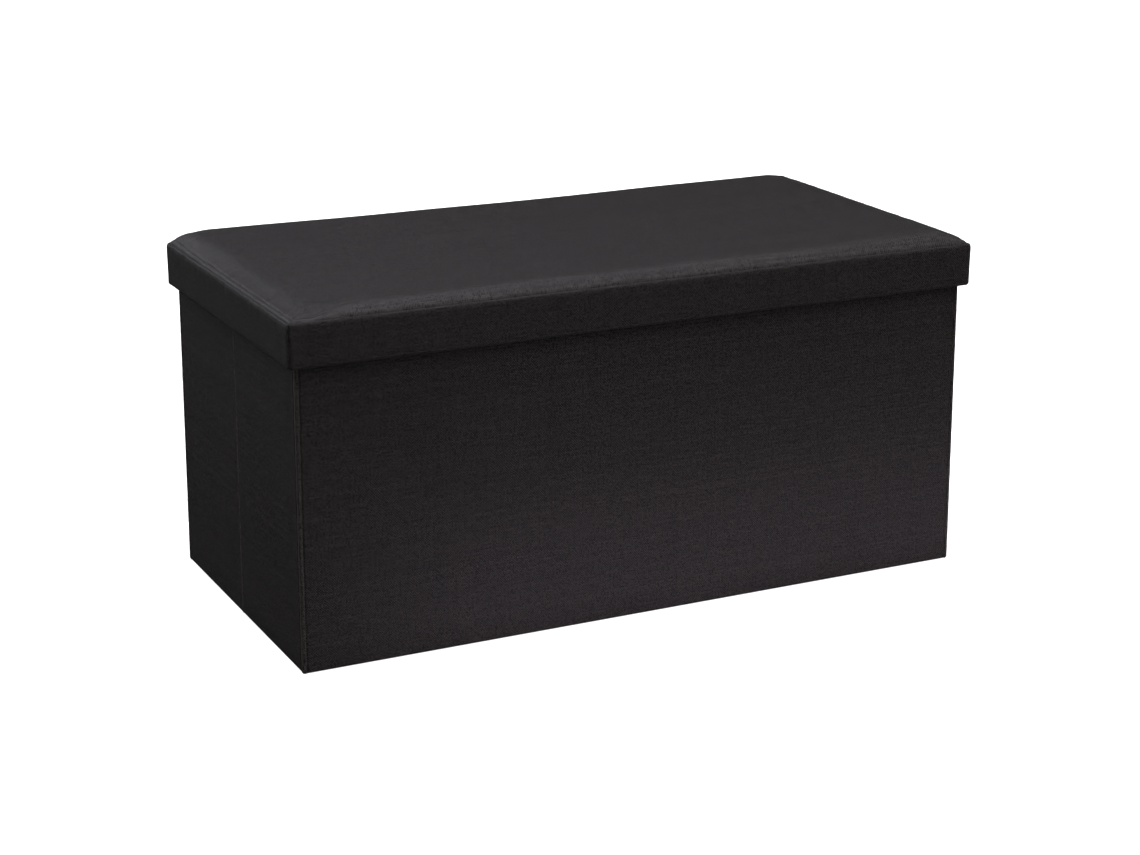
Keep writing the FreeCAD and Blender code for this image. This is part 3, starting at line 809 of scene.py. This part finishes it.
def lid_skirt(side):
    """A skirt strip: full at the seam, flat over its board, and turned in round the hem."""
    half, reach = side_halves(side, LID_HALF_X, LID_HALF_Y)
    end = side_end(side, *LID_OUTLINE)
    seed = SIDE_TURN[side]
    stations = uneven_steps(-end, end, 0.6 * MM, 4.5 * MM, 0.05)
    places, _, outs = side_path(side, *LID_OUTLINE, stations)
    along, out = side_frame(side)
    pucker = ripple(stations, 0.012, 0.06, seed + 21)
    slow = ripple(stations, 0.12, 0.6, seed + 31)
    to_seam = end - np.abs(stations)
    # The strip dips into its corner seam and stands a little full beside it.
    corner_dip = -0.8 * MM * bell(to_seam, 0.4 * MM) + 0.4 * MM * bell(to_seam - 6 * MM, 5 * MM)
    top = SEAM_Z + 0.1 * MM
    profile, outside = skirt_profile(top)

    points = []
    for k, (depth, level, loose) in enumerate(profile):
        gathered = loose * 0.22 * MM * pucker * bell(level - top + 3 * MM, 9 * MM)
        offset = depth * MM + gathered + 0.18 * MM * slow
        dips = corner_dip if k < outside else np.minimum(corner_dip, 0.0)
        shift = np.minimum(offset + dips, 1.2 * MM)
        row = places + outs * shift[:, None]
        if depth < -2.5:
            scale = (half + depth * MM) / (half - LID_CORNER + LID_CORNER * math.sin(math.pi / 4))
            a = (places @ along) * scale
            row = a[:, None] * along + (reach + depth * MM) * out
        droop = 0.25 * MM * slow * bell(level - HEM_Z, 8 * MM)
        lift = 0.5 * MM * bell(to_seam, 2.0 * MM) * bell(level - HEM_Z, 2 * MM)
        row[:, 2] = level + droop * (level > HEM_Z - MM) + lift
        points.append(row)
    points = np.array(points)
    drop = girth(points, len(stations) // 2)
    uvs = sweep_uvs(-drop, stations + seed * 0.37, -drop[-1] - 3 * MM, along_x=True)
    strip = tube_object(f"lid_{side}_skirt", points, uvs, cover_fabric, outward=False)
    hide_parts(f"lid_{side}_skirt_cover")
    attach(strip, "lid")


def topstitch_row(side):
    """Stitches in the groove of the panel's edge, where the topstitch pulls it down."""
    half, reach = side_halves(side, PAD_HALF_X, PAD_HALF_Y)
    along, out = side_frame(side)
    run = stations_between(-half + 7.5 * MM, half - 7.5 * MM)
    run = run[pinch_share(side, run, half) > 0.2]
    pinched = pinch_share(side, run, half)
    inset = topstitch_inset(side, run, half)
    places = run[:, None] * along + (reach - inset)[:, None] * out
    level = SEAM_Z - 0.3 * MM + edge_height(inset, inset, pinched, 0 * run, 0 * run)
    level += pad_slack(places[:, 0], places[:, 1]) * smooth((inset / CORE_INSET) * 1.6)
    places[:, 2] = level + 0.05 * MM + 0.25 * MM * pinched
    tilt = UP * 0.8 + out * 0.6
    return stitch_row(places, np.gradient(places, axis=0), [tilt] * len(run))


def seam_row(side):
    """Stitches in the groove between the panel and the skirt."""
    end = side_end(side, *PAD_OUTLINE)
    places, ways, outs = side_path(side, *PAD_OUTLINE, stations_between(-end + 1.2 * MM, end - 1.2 * MM))
    places = places - outs * 0.3 * MM
    places[:, 2] = SEAM_Z + 0.3 * MM
    return stitch_row(places, ways, outs, size=(1.7, 0.7, 0.9))


def corner_row(side):
    """Stitches down the corner between two skirts."""
    end = side_end(side, *LID_OUTLINE)
    corner, _, outs = side_path(side, *LID_OUTLINE, np.array([end]))
    levels = stations_between(HEM_Z + 3 * MM, SEAM_Z - 1.5 * MM)
    places = np.repeat(corner - outs * 0.3 * MM, len(levels), axis=0)
    places[:, 2] = levels
    return stitch_row(places, [UP] * len(levels), [outs[0]] * len(levels), size=(1.7, 0.45, 0.3))


def mitre_row(side):
    """A short row of stitches from the seam's corner to the topstitch's."""
    end = side_end(side, *PAD_OUTLINE)
    corner, _, outs = side_path(side, *PAD_OUTLINE, np.array([end]))
    steps = np.array([1.2, 3.4, 5.6, 7.8]) * MM
    places = corner - steps[:, None] * outs
    places[:, 2] = SEAM_Z + (0.9 + 0.75 * (1 - np.exp(-steps / (2.5 * MM)))) * MM
    return stitch_row(places, [outs[0]] * len(steps), [UP] * len(steps), size=(1.6, 0.55, 0.4))


lid_pad()
for side in SIDES:
    lid_skirt(side)
stitches("lid_topstitch", [topstitch_row(side) for side in SIDES], "lid")
stitches("lid_seam_stitches", [seam_row(side) for side in SIDES], "lid")
corner_rows = [row(side) for side in SIDES for row in (corner_row, mitre_row)]
stitches("lid_corner_stitches", corner_rows, "lid")

# ---- Shell walls ----

# How far a side's half panel ends from the crease, and from the middle at its other end.
CREASE_GAP = 0.2 * MM
SIDE_END = HALF_Y - PANEL - 0.4 * MM
# How far the sewn corner reaches along the long and the short face.
WELT_LONG, WELT_SHORT = 3.4 * MM, CORNER_SEAM
LONG_END = HALF_X - WELT_LONG
# Each wall: its side, and its two ends along that side as seen from outside.
WALLS = {
    "front_wall": ("front", -LONG_END, LONG_END),
    "back_wall": ("back", -LONG_END, LONG_END),
    "left_rear_half": ("left", -SIDE_END, -CREASE_GAP),
    "left_front_half": ("left", CREASE_GAP, SIDE_END),
    "right_front_half": ("right", -SIDE_END, -CREASE_GAP),
    "right_rear_half": ("right", CREASE_GAP, SIDE_END),
}
# How far down the inside the walls' cloth is turned.
HEM_TURN = 13.0 * MM


def level_row(along, out, stations, distance, level):
    """Points at one height of a side, at a distance out from the middle at each station."""
    row = stations[:, None] * along + distance[:, None] * out
    row[:, 2] = level
    return row


def rounding(radius, first, last, count):
    """Points of a rounded edge between two angles: how far each lies from the two faces it joins."""
    turns = np.linspace(first, last, count)
    return [(radius * (1 - math.cos(t)), radius * (1 - math.sin(t))) for t in turns]


def wall_profile():
    """Section of a cover, outside first. Each is (depth in from the face, height, share of looseness)."""
    outer = [(depth, level, 0.0) for depth, level in rounding(WALL_EDGE, QUARTER, 0, 5)]
    outer += [(0.0, level, 1.0) for level in np.linspace(0.012, WALL_TOP - 0.012, 30)]
    outer += [(depth, WALL_TOP - drop, 0.0) for depth, drop in rounding(WALL_EDGE, 0, QUARTER, 5)]
    hem = PANEL + 0.3 * MM
    outer += [(hem - back, WALL_TOP - drop, 0.0) for back, drop in rounding(1.0 * MM, QUARTER, 0, 4)]
    outer += [(hem, WALL_TOP - HEM_TURN + 1 * MM, 0.0), (PANEL + 0.1 * MM, WALL_TOP - HEM_TURN, 0.0)]
    inner = [(PANEL - 0.5 * MM, WALL_TOP - HEM_TURN, 0.0), (PANEL - 0.5 * MM, WALL_TOP - CLOTH, 0.0)]
    inner += [(CLOTH, WALL_TOP - CLOTH, 0.0), (CLOTH, CLOTH, 0.0), (PANEL, CLOTH, 0.0), (PANEL, 0.0, 0.0)]
    return outer + inner


def wall_cover(name, side, first, last):
    """A wall's woven cover: a nearly flat face, rolled top and bottom edges and a hem turned inside."""
    _, reach = side_halves(side, HALF_X, HALF_Y)
    along, out = side_frame(side)
    stations = uneven_steps(first, last, 1.0 * MM, 7.0 * MM, 0.04)
    ends = np.minimum(stations - first, last - stations)
    roll = 0.9 * MM
    end_round = roll * (1 - np.sqrt(1 - (1 - np.clip(ends / roll, 0, 1)) ** 2)) * 0.95
    profile = wall_profile()
    seed = 60 + 7 * list(WALLS).index(name)
    points = []
    for depth, level, loose in profile:
        drift = 0.22 * MM * loose * slack_field(stations, np.full_like(stations, level), 0.05, 0.3, seed)
        drift = drift * smooth(ends / 0.02)
        shift = end_round if depth < PANEL / 2 else 0 * end_round
        # The hem lies flat near the ends, where folded walls close on each other.
        shift = shift - max(depth - PANEL, 0.0) * (1 - smooth((ends - 10 * MM) / (22 * MM)))
        points.append(level_row(along, out, stations, reach - depth - shift + drift, level))
    points = np.array(points)
    climb = girth(points, len(stations) // 2)
    uvs = sweep_uvs(climb, stations + seed * 0.013, climb[-1] + PANEL, along_x=True)
    cover = tube_object(f"{name}_fabric", points, uvs, cover_fabric, outward=True)
    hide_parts(f"{name}_cover")
    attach(cover, name)


for wall_name, (wall_side, wall_first, wall_last) in WALLS.items():
    wall_cover(wall_name, wall_side, wall_first, wall_last)


def corner_welt(corner, body, x_sign, y_sign):
    """The sewn corner: the long wall's cloth rolled round the corner and stitched down on both faces."""
    lip = 0.35 * MM
    radius = 2.4 * MM
    # Plan section from the long face to the short one: (in from the short face, in from the long face).
    plan = [(WELT_LONG - 0.05 * MM, 0.8 * MM), (WELT_LONG - 0.1 * MM, 0.05 * MM)]
    plan.append((WELT_LONG - 0.7 * MM, -0.7 * lip))
    rounded = rounding(radius, 0, QUARTER, 7)
    plan += [(from_short - lip, from_long - lip) for from_long, from_short in rounded]
    plan += [(-lip, WELT_SHORT - 1.6 * MM), (-0.7 * lip, WELT_SHORT - 0.9 * MM)]
    plan += [(0.15 * MM, WELT_SHORT - 0.35 * MM), (1.0 * MM, WELT_SHORT - 0.2 * MM)]
    shaped = len(plan)
    plan.append((1.2 * MM, 1.2 * MM))
    middle = np.linspace(2 * MM, WALL_TOP - 2 * MM, 60)
    levels = np.concatenate([[0.2 * MM, 0.6 * MM], middle, [WALL_TOP - 0.6 * MM, WALL_TOP - 0.1 * MM]])
    tuck = 0.5 * MM * (bell(levels, 0.8 * MM) + bell(levels - WALL_TOP, 0.8 * MM))
    wave = 0.04 * MM * ripple(levels, 0.006, 0.05, int(7 + 2 * x_sign + y_sign))
    points = []
    for k, (from_short, from_long) in enumerate(plan):
        inward = tuck + wave if k < shaped else 0 * levels
        x, y = x_sign * (HALF_X - from_short - inward), y_sign * (HALF_Y - from_long - inward)
        points.append(np.stack([x, y, levels], axis=1))
    points = np.array(points)
    width = girth(points, len(levels) // 2)
    uvs = sweep_uvs(width, levels, width[-1] + MM)
    # The welt wears the paler cloth: a painted highlight on the rounded corner.
    welt = tube_object(f"{corner}_welt", points, uvs, seam_fabric, outward=x_sign * y_sign > 0)
    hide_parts(f"{corner}_seam")
    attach(welt, body)

    run = stations_between(2 * MM, WALL_TOP - 2 * MM)
    rows = []
    for place, out in (
        ((HALF_X - WELT_LONG + 0.1 * MM, HALF_Y + 0.02 * MM), (0, y_sign)),
        ((HALF_X - 0.25 * MM, HALF_Y - WELT_SHORT + 0.5 * MM), (x_sign, 0)),
    ):
        centres = upright([(x_sign * place[0], y_sign * place[1])], run)[0]
        outs = [np.array([*out, 0.0])] * len(run)
        rows.append(stitch_row(centres, [UP] * len(run), outs, size=(1.5, 0.5, 0.3)))
    stitches(f"{corner}_stitches", rows, body)


for body, y_sign in (("front_wall", -1), ("back_wall", 1)):
    for end_name, x_sign in (("left", -1), ("right", 1)):
        corner_welt(f"{body.split('_')[0]}_{end_name}_corner", body, x_sign, y_sign)


def hinge_strip(name, side):
    """A narrow strip of cloth over the crease between two panels, drawn paler as a painted highlight on the
    crease.
    """
    half_width, crown_height = 1.1 * MM, 0.25 * MM
    _, reach = side_halves(side, HALF_X, HALF_Y)
    along, out = side_frame(side)
    across = np.linspace(-half_width, half_width, 13)
    levels = np.linspace(0.5 * MM, WALL_TOP - 0.5 * MM, 50)
    crown = crown_height * (1 - (across / half_width) ** 2)
    plan = []
    for thickness, order in ((0.0, 1), (0.4 * MM, -1)):
        for shift, rise in list(zip(across, crown))[::order]:
            place = shift * along + (reach + rise - thickness - 0.05 * MM) * out
            plan.append(place[:2])
    points = upright(plan, levels)
    width = girth(points, 0) + 0.5
    uvs = sweep_uvs(width, levels, width[-1])
    strip = tube_object(name, points, uvs, crease_highlight_fabric, outward=False)
    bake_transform(strip)


hinge_strip("left_crease", "left")
hinge_strip("right_crease", "right")


def gusset(name, gap_low, gap_high, x_sign, pivot_inside):
    """Cloth folded into the gap between two panels with its fold on the pivot.

    The gap runs in Y from gap_low, next to the first body, to gap_high."""
    way = 1 if gap_high > gap_low else -1
    margin, skin = way * 0.05 * MM, way * 0.1 * MM
    near, far = gap_low + margin, gap_high - margin
    middle = (near + far) / 2
    fold, free = (PANEL_IN, PANEL_OUT) if pivot_inside else (PANEL_OUT, PANEL_IN)
    back = 1 if free > fold else -1
    bend, tip = fold + back * 0.3 * MM, fold + back * 0.12 * MM
    inner_bend, inner_tip = fold + back * 0.32 * MM, fold + back * 0.16 * MM
    plan = [(free, near), (bend, near), (tip, near + skin / 2), (fold, middle)]
    plan += [(tip, far - skin / 2), (bend, far), (free, far)]
    plan += [(free, far - skin), (inner_bend, far - skin), (inner_tip, middle)]
    plan += [(inner_bend, near + skin), (free, near + skin)]
    levels = np.linspace(1.0 * MM, WALL_TOP - 1.0 * MM, 24)
    points = upright([(x_sign * x, y) for x, y in plan], levels)
    width = girth(points, 0) + 0.21
    uvs = sweep_uvs(width, levels, width[-1])
    strip = tube_object(name, points, uvs, cover_fabric, outward=way * x_sign * back > 0)
    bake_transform(strip)


# A side panel's faces in X, and the two ends in Y of the gap between it and a long wall.
PANEL_IN, PANEL_OUT = HALF_X - PANEL + 0.05 * MM, HALF_X - 0.6 * MM
INSIDE_Y, HALF_END_Y = HALF_Y - PANEL, SIDE_END
# Each gusset: its gap, the bodies beside it, the shell's side it is on, and whether its pivot is inside.
for gusset_name, gap_low, gap_high, bodies, x_sign, pivot_inside in (
    ("left_rear_gusset", INSIDE_Y, HALF_END_Y, ("back_wall", "left_rear_half"), -1, True),
    ("left_front_gusset", -HALF_END_Y, -INSIDE_Y, ("left_front_half", "front_wall"), -1, True),
    ("right_front_gusset", -INSIDE_Y, -HALF_END_Y, ("front_wall", "right_front_half"), 1, True),
    ("left_crease_gusset", CREASE_GAP, -CREASE_GAP, ("left_rear_half", "left_front_half"), -1, False),
    ("right_crease_gusset", -CREASE_GAP, CREASE_GAP, ("right_front_half", "right_rear_half"), 1, False),
):
    gusset(gusset_name, gap_low, gap_high, x_sign, pivot_inside)


def end_cloth(name, body, y_face, y_under):
    """Flat cloth over a panel's end at the open corner, where no joint carries a folded strip."""
    levels = np.linspace(1.0 * MM, WALL_TOP - 1.0 * MM, 24)
    runs = np.linspace(PANEL_IN, PANEL_OUT, 6)
    plan = [(x, y_face) for x in runs] + [(x, y_under) for x in runs[::-1]]
    uvs = sweep_uvs([x for x, _ in plan], levels, plan[0][0])
    strip = tube_object(name, upright(plan, levels), uvs, cover_fabric, outward=y_face < y_under)
    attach(strip, body)


end_cloth("back_right_wall_end", "back_wall", INSIDE_Y - 0.05 * MM, INSIDE_Y - 0.15 * MM)
end_cloth("right_rear_half_end", "right_rear_half", HALF_END_Y + 0.05 * MM, HALF_END_Y + 0.15 * MM)

# ---- Linings ----

LINING = 0.8 * MM


def wall_lining(name, side, first, last):
    """The thin sheet on a wall's inside, not quite flat, with soft edges."""
    _, reach = side_halves(side, HALF_X, HALF_Y)
    along, out = side_frame(side)
    stations = uneven_steps(first, last, 1.5 * MM, 9.0 * MM, 0.04)
    ends = np.minimum(stations - first, last - stations)
    low, high, edge = 1.0 * MM, WALL_TOP - 1.0 * MM, 0.3 * MM
    # Section: (depth in from the wall's outer face, height, share of the face's looseness).
    section = [(PANEL - LINING, low, 0.0), (PANEL - edge, low, 0.0), (PANEL, low + edge, 0.0)]
    for level in np.linspace(0.01, WALL_TOP - 0.015, 24):
        section.append((PANEL, level, 1.0))
    section += [(PANEL, high - edge, 0.0), (PANEL - edge, high, 0.0), (PANEL - LINING, high, 0.0)]
    seed = 90 + 5 * list(WALLS).index(name)
    points = []
    for depth, level, loose in section:
        wave = 1 + slack_field(stations, np.full_like(stations, level), 0.06, 0.3, seed)
        drift = 0.12 * MM * loose * wave
        drift = np.clip(drift, 0, 0.35 * MM) * smooth((ends - 10 * MM) / (22 * MM))
        points.append(level_row(along, out, stations, reach - depth - drift, level))
    points = np.array(points)
    uvs = sweep_uvs(points[:, 0, 2], stations, 0.0, along_x=True)
    sheet = tube_object(f"{name}_lining_cloth", points, uvs, lining_cloth, outward=False)
    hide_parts(f"{name}_lining")
    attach(sheet, name)


for wall_name, (wall_side, wall_first, wall_last) in WALLS.items():
    if wall_side in ("front", "back"):
        wall_first, wall_last = -HALF_X + MM, HALF_X - MM
    wall_lining(wall_name, wall_side, wall_first, wall_last)


def ringed_form(name, high, radius, rings, material, seed, slack, upward):
    """A closed form of rounded rings inside a box whose far corner is high, capped at both ends.

    Each ring is (how far in from the sides, height, share of slack)."""
    half_x, half_y = high.x, high.y
    loops = []
    for inset, level, loose in rings:
        loop = []
        turn = max(radius - inset, 0.6 * MM)
        for side in SIDES:
            end = side_end(side, half_x - inset, half_y - inset, turn)
            count = 84 if side in ("front", "back") else 44
            share = np.linspace(-1, 1, count)[:-1]
            # Stations sit closer together near the corners.
            stations = end * np.sin(share * QUARTER)
            places, _, _ = side_path(side, half_x - inset, half_y - inset, turn, stations)
            loop.append(places)
        loop = np.concatenate(loop)
        loop[:, 2] = level + loose * slack * slack_field(loop[:, 0], loop[:, 1], 0.07, 0.3, seed)
        loops.append(loop)
    around = len(loops[0])
    vertices = np.concatenate(loops)
    last = (len(loops) - 1) * around
    faces = [tuple(reversed(range(around)))] + band_faces(len(loops), around)
    faces.append(tuple(range(last, last + around)))
    if not upward:
        faces = [face[::-1] for face in faces]
    face_uvs = [[vertices[i][:2] for i in face] for face in faces]
    return new_object(name, vertices, faces, material, face_uvs)


def lid_underside():
    """The lining tray under the lid: up inside the skirts, round a soft corner and across the board."""
    low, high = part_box("lid_lining")
    rings = [(30 * MM, high.z, 0), (2 * MM, high.z, 0), (0, high.z - 1 * MM, 0), (0, low.z + 0.3 * MM, 0)]
    rings += [(0.25 * MM, low.z, 0), (LINING, low.z + 0.1 * MM, 0), (1.0 * MM, low.z + 3 * MM, 0)]
    rings += [(1.0 * MM, high.z - 5 * MM, 0), (1.4 * MM, high.z - 2.8 * MM, 0)]
    rings += [(2.6 * MM, high.z - 1.4 * MM, 0), (4.5 * MM, high.z - 0.6 * MM, 0)]
    for inset in (8, 14, 22, 32, 45, 60, 78, 98, 120, 140, 155, 168, 176):
        rings.append((inset * MM, high.z - 0.5 * MM, 1))
    tray = ringed_form("lid_lining_tray", high, 3 * MM, rings, lining_cloth, 31, 0.16 * MM, upward=False)
    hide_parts("lid_lining")
    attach(tray, "lid")


def base_cloth():
    """Cloth wrapped round the base board and turned under it, open in the middle below."""
    low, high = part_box("base_wrap")
    turned, thick = 40 * MM, 0.6 * MM
    rings = [(60 * MM, high.z - thick, 0), (thick, high.z - thick, 0), (thick, low.z + thick, 0)]
    rings += [(turned - MM, low.z + thick, 0), (turned, low.z + 0.4 * MM, 0), (turned, low.z + 0.1 * MM, 0)]
    rings += [(turned - 0.4 * MM, low.z, 0), (1.0 * MM, low.z, 0), (0.3 * MM, low.z + 0.3 * MM, 0)]
    rings += [(0, low.z + 1.0 * MM, 0), (0, high.z - 1.3 * MM, 0), (0.35 * MM, high.z - 0.4 * MM, 0)]
    rings += [(1.3 * MM, high.z - 0.05 * MM, 0)]
    for inset in (4, 9, 16, 26, 38, 52, 68, 86, 105, 124, 142, 156, 164):
        rings.append((inset * MM, high.z, 1))
    wrap = ringed_form("base_wrap_cloth", high, 4 * MM, rings, wrap_cloth, 47, 0.12 * MM, upward=True)
    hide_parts("base_wrap")
    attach(wrap, "base")


lid_underside()
base_cloth()

# ---- Pull tab ----


def pull_tab():
    """A loop of webbing on the base, a little slack on top, with its stitched ends meeting underneath."""
    low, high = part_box("base_pull_tab")
    half_width, thick = (high.x - low.x) / 2, 1.2 * MM
    bend = (high.z - low.z) / 2 - thick / 2
    run = (high.y - low.y) / 2 - bend - thick / 2
    middle_y, middle_z = (high.y + low.y) / 2, (high.z + low.z) / 2
    line = [(y, -bend) for y in np.linspace(0.4 * MM, run, 9)[:-1]]
    line += [(run + bend * math.sin(t), -bend * math.cos(t)) for t in np.linspace(0, math.pi, 13)]
    line += [(y, bend) for y in np.linspace(run, -run, 19)[1:-1]]
    line += [(-run - bend * math.sin(t), bend * math.cos(t)) for t in np.linspace(0, math.pi, 13)]
    line += [(y, -bend) for y in np.linspace(-run, -0.4 * MM, 9)[1:]]
    line = np.array(line)
    ways = np.gradient(line, axis=0)
    ways /= np.linalg.norm(ways, axis=1)[:, None]
    normals = np.stack([ways[:, 1], -ways[:, 0]], axis=1)
    away = np.clip(np.abs(line[:, 0] - 4 * MM) / run, 0, 1)
    sag = 1.3 * MM * np.clip(line[:, 1] / bend, 0, 1) * (1 - away**2)
    ribs = 11
    section = [(-half_width, 0.25), (-half_width, -0.25)]
    section += [(x, -0.5) for x in np.linspace(-half_width + 0.5 * MM, half_width - 0.5 * MM, ribs)]
    section += [(half_width, -0.25), (half_width, 0.25)]
    section += [(x, 0.5) for x in np.linspace(half_width - 0.5 * MM, -half_width + 0.5 * MM, ribs)]
    points = []
    for k, (x, share) in enumerate(section):
        # The face of the webbing is faintly ribbed along its length.
        rib = 0.06 * MM * (k % 2)
        offset = share * thick - math.copysign(rib, share)
        row = np.zeros((len(line), 3))
        row[:, 0] = x
        row[:, 1] = middle_y + line[:, 0] + normals[:, 0] * offset
        row[:, 2] = middle_z + line[:, 1] + normals[:, 1] * offset - sag
        points.append(row)
    points = np.array(points)
    uvs = sweep_uvs([x for x, _ in section], run_lengths(points)[0], section[0][0])
    loop = tube_object("base_webbing_loop", points, uvs, webbing_fabric, outward=True)
    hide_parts("base_pull_tab")
    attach(loop, "base")
    across = np.array([1.0, 0, 0])
    rows = []
    for y in (middle_y - run + 4 * MM, middle_y - run + 10 * MM):
        stations = stations_between(-half_width + MM, half_width - MM)
        centres = np.array([(x, y, low.z + thick + 0.1 * MM) for x in stations])
        rows.append(stitch_row(centres, [across] * len(centres), [UP] * len(centres)))
    stitches("base_webbing_stitches", rows, "base")


pull_tab()

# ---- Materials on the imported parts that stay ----


def finish_node(node, material):
    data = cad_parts[node].data
    data.materials.clear()
    data.materials.append(material)


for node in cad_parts:
    if node.endswith("_board"):
        finish_node(node, raw_board)
finish_node("lid_staples", bright_wire)

# ---- Floor, light and camera ----


def glowing(name, base, strength, roughness):
    """A plain grey material with white light of its own."""
    n = Nodes(name)
    n.shader.inputs["Base Color"].default_value = (base, base, base, 1)
    n.shader.inputs["Emission Color"].default_value = (1, 1, 1, 1)
    n.shader.inputs["Emission Strength"].default_value = strength
    return n.finish(roughness, 0.0)


def floor():
    """A pale floor with light of its own, so that only a faint contact shadow is left."""
    size = 30.0
    corners = [(-size, -size, 0), (size, -size, 0), (size, size, 0), (-size, size, 0)]
    grey = glowing("studio_floor", 0.4, 0.68, 0.9)
    sheet = new_object("studio_floor", corners, [(0, 1, 2, 3)], grey)
    sheet.location.z = -0.4 * MM
    # The object is lit by the world and the lamps, and not by the floor's own glow.
    sheet.visible_glossy = False
    sheet.visible_diffuse = False


def backdrop():
    """A white wall far away all round, seen by the camera only, so that low views have no horizon."""
    radius, height, count = 29.0, 30.0, 96
    turns = np.linspace(0, TAU, count, endpoint=False)
    ring = [(radius * math.cos(t), radius * math.sin(t)) for t in turns]
    vertices = [(x, y, -MM) for x, y in ring] + [(x, y, height) for x, y in ring]
    faces = [(i, (i + 1) % count, count + (i + 1) % count, count + i) for i in range(count)]
    wall = new_object("studio_backdrop", vertices, faces, glowing("studio_backdrop", 0, 1.0, 1.0))
    wall.visible_diffuse = wall.visible_glossy = wall.visible_shadow = False


def area_light(name, place, target, size, power, tint=(1, 1, 1), glossy=True):
    light = bpy.data.lights.new(name, "AREA")
    light.shape = "RECTANGLE"
    light.size, light.size_y = size
    light.energy = power
    light.color = tint
    lamp = bpy.data.objects.new(name, light)
    lamp.location = place
    lamp.rotation_euler = (Vector(target) - Vector(place)).to_track_quat("-Z", "Y").to_euler()
    lamp.visible_camera = False
    lamp.visible_glossy = glossy
    bpy.context.scene.collection.objects.link(lamp)


def light():
    world = bpy.data.worlds.new("white_studio")
    world.use_nodes = True
    tree = world.node_tree
    background = tree.nodes["Background"]
    background.inputs["Color"].default_value = (1, 1, 1, 1)
    # Dimmer from below, as off a pale floor, and brightest overhead.
    place = tree.nodes.new("ShaderNodeTexCoord")
    split = tree.nodes.new("ShaderNodeSeparateXYZ")
    tree.links.new(place.outputs["Generated"], split.inputs[0])
    height = tree.nodes.new("ShaderNodeMapRange")
    for key, number in (("From Min", -0.1), ("From Max", 0.75), ("To Min", 0.62), ("To Max", 1.45)):
        height.inputs[key].default_value = number
    tree.links.new(split.outputs["Z"], height.inputs["Value"])
    tree.links.new(height.outputs["Result"], background.inputs["Strength"])
    bpy.context.scene.world = world
    world.cycles_visibility.glossy = False
    cool, warm = (0.955, 0.975, 1.09), (1.0, 0.88, 1.05)
    area_light("overhead", (0.0, -0.1, 2.2), (0, 0, 0.2), (1.8, 1.4), 66, tint=cool)
    area_light("back", (-1.35, 2.2, 1.5), (0, 0, 0.3), (1.6, 1.0), 28, tint=cool)
    area_light("front_high", (0.7, -1.4, 2.0), (0.15, -0.1, 0.15), (1.3, 0.9), 24)
    area_light("floor_bounce", (0.24, -0.37, 0.012), (0.24, -0.18, 0.0), (1.05, 0.08), 1.45, tint=warm)
    area_light("left_fill", (-2.4, 1.4, 1.0), (-0.37, 0.0, 0.15), (1.4, 1.2), 17)
    # Two lights for the sides away from the camera. They don't glance off the top.
    area_light("rear_fill", (0.9, 2.3, 0.42), (0.1, 0.18, 0.15), (1.8, 0.6), 34, glossy=False)
    area_light("right_fill", (2.3, 0.5, 0.42), (0.37, 0.0, 0.15), (1.2, 0.6), 22, glossy=False)


def camera():
    """The viewing place and angle, with a small lens shift that keeps the uprights nearly upright."""
    data = bpy.data.cameras.new("view")
    data.sensor_width = 36.0
    data.lens = 78.25
    data.shift_y = -0.0877
    eye = bpy.data.objects.new("view", data)
    eye.location = (-1.113, -2.288, 0.936)
    yaw, pitch = math.radians(25.98), math.radians(14.89)
    ahead = Vector((math.sin(yaw) * math.cos(pitch), math.cos(yaw) * math.cos(pitch), -math.sin(pitch)))
    eye.rotation_euler = ahead.to_track_quat("-Z", "Y").to_euler()
    bpy.context.scene.collection.objects.link(eye)
    bpy.context.scene.camera = eye


floor()
backdrop()
light()
camera()
bpy.context.scene.view_settings.view_transform = "Standard"
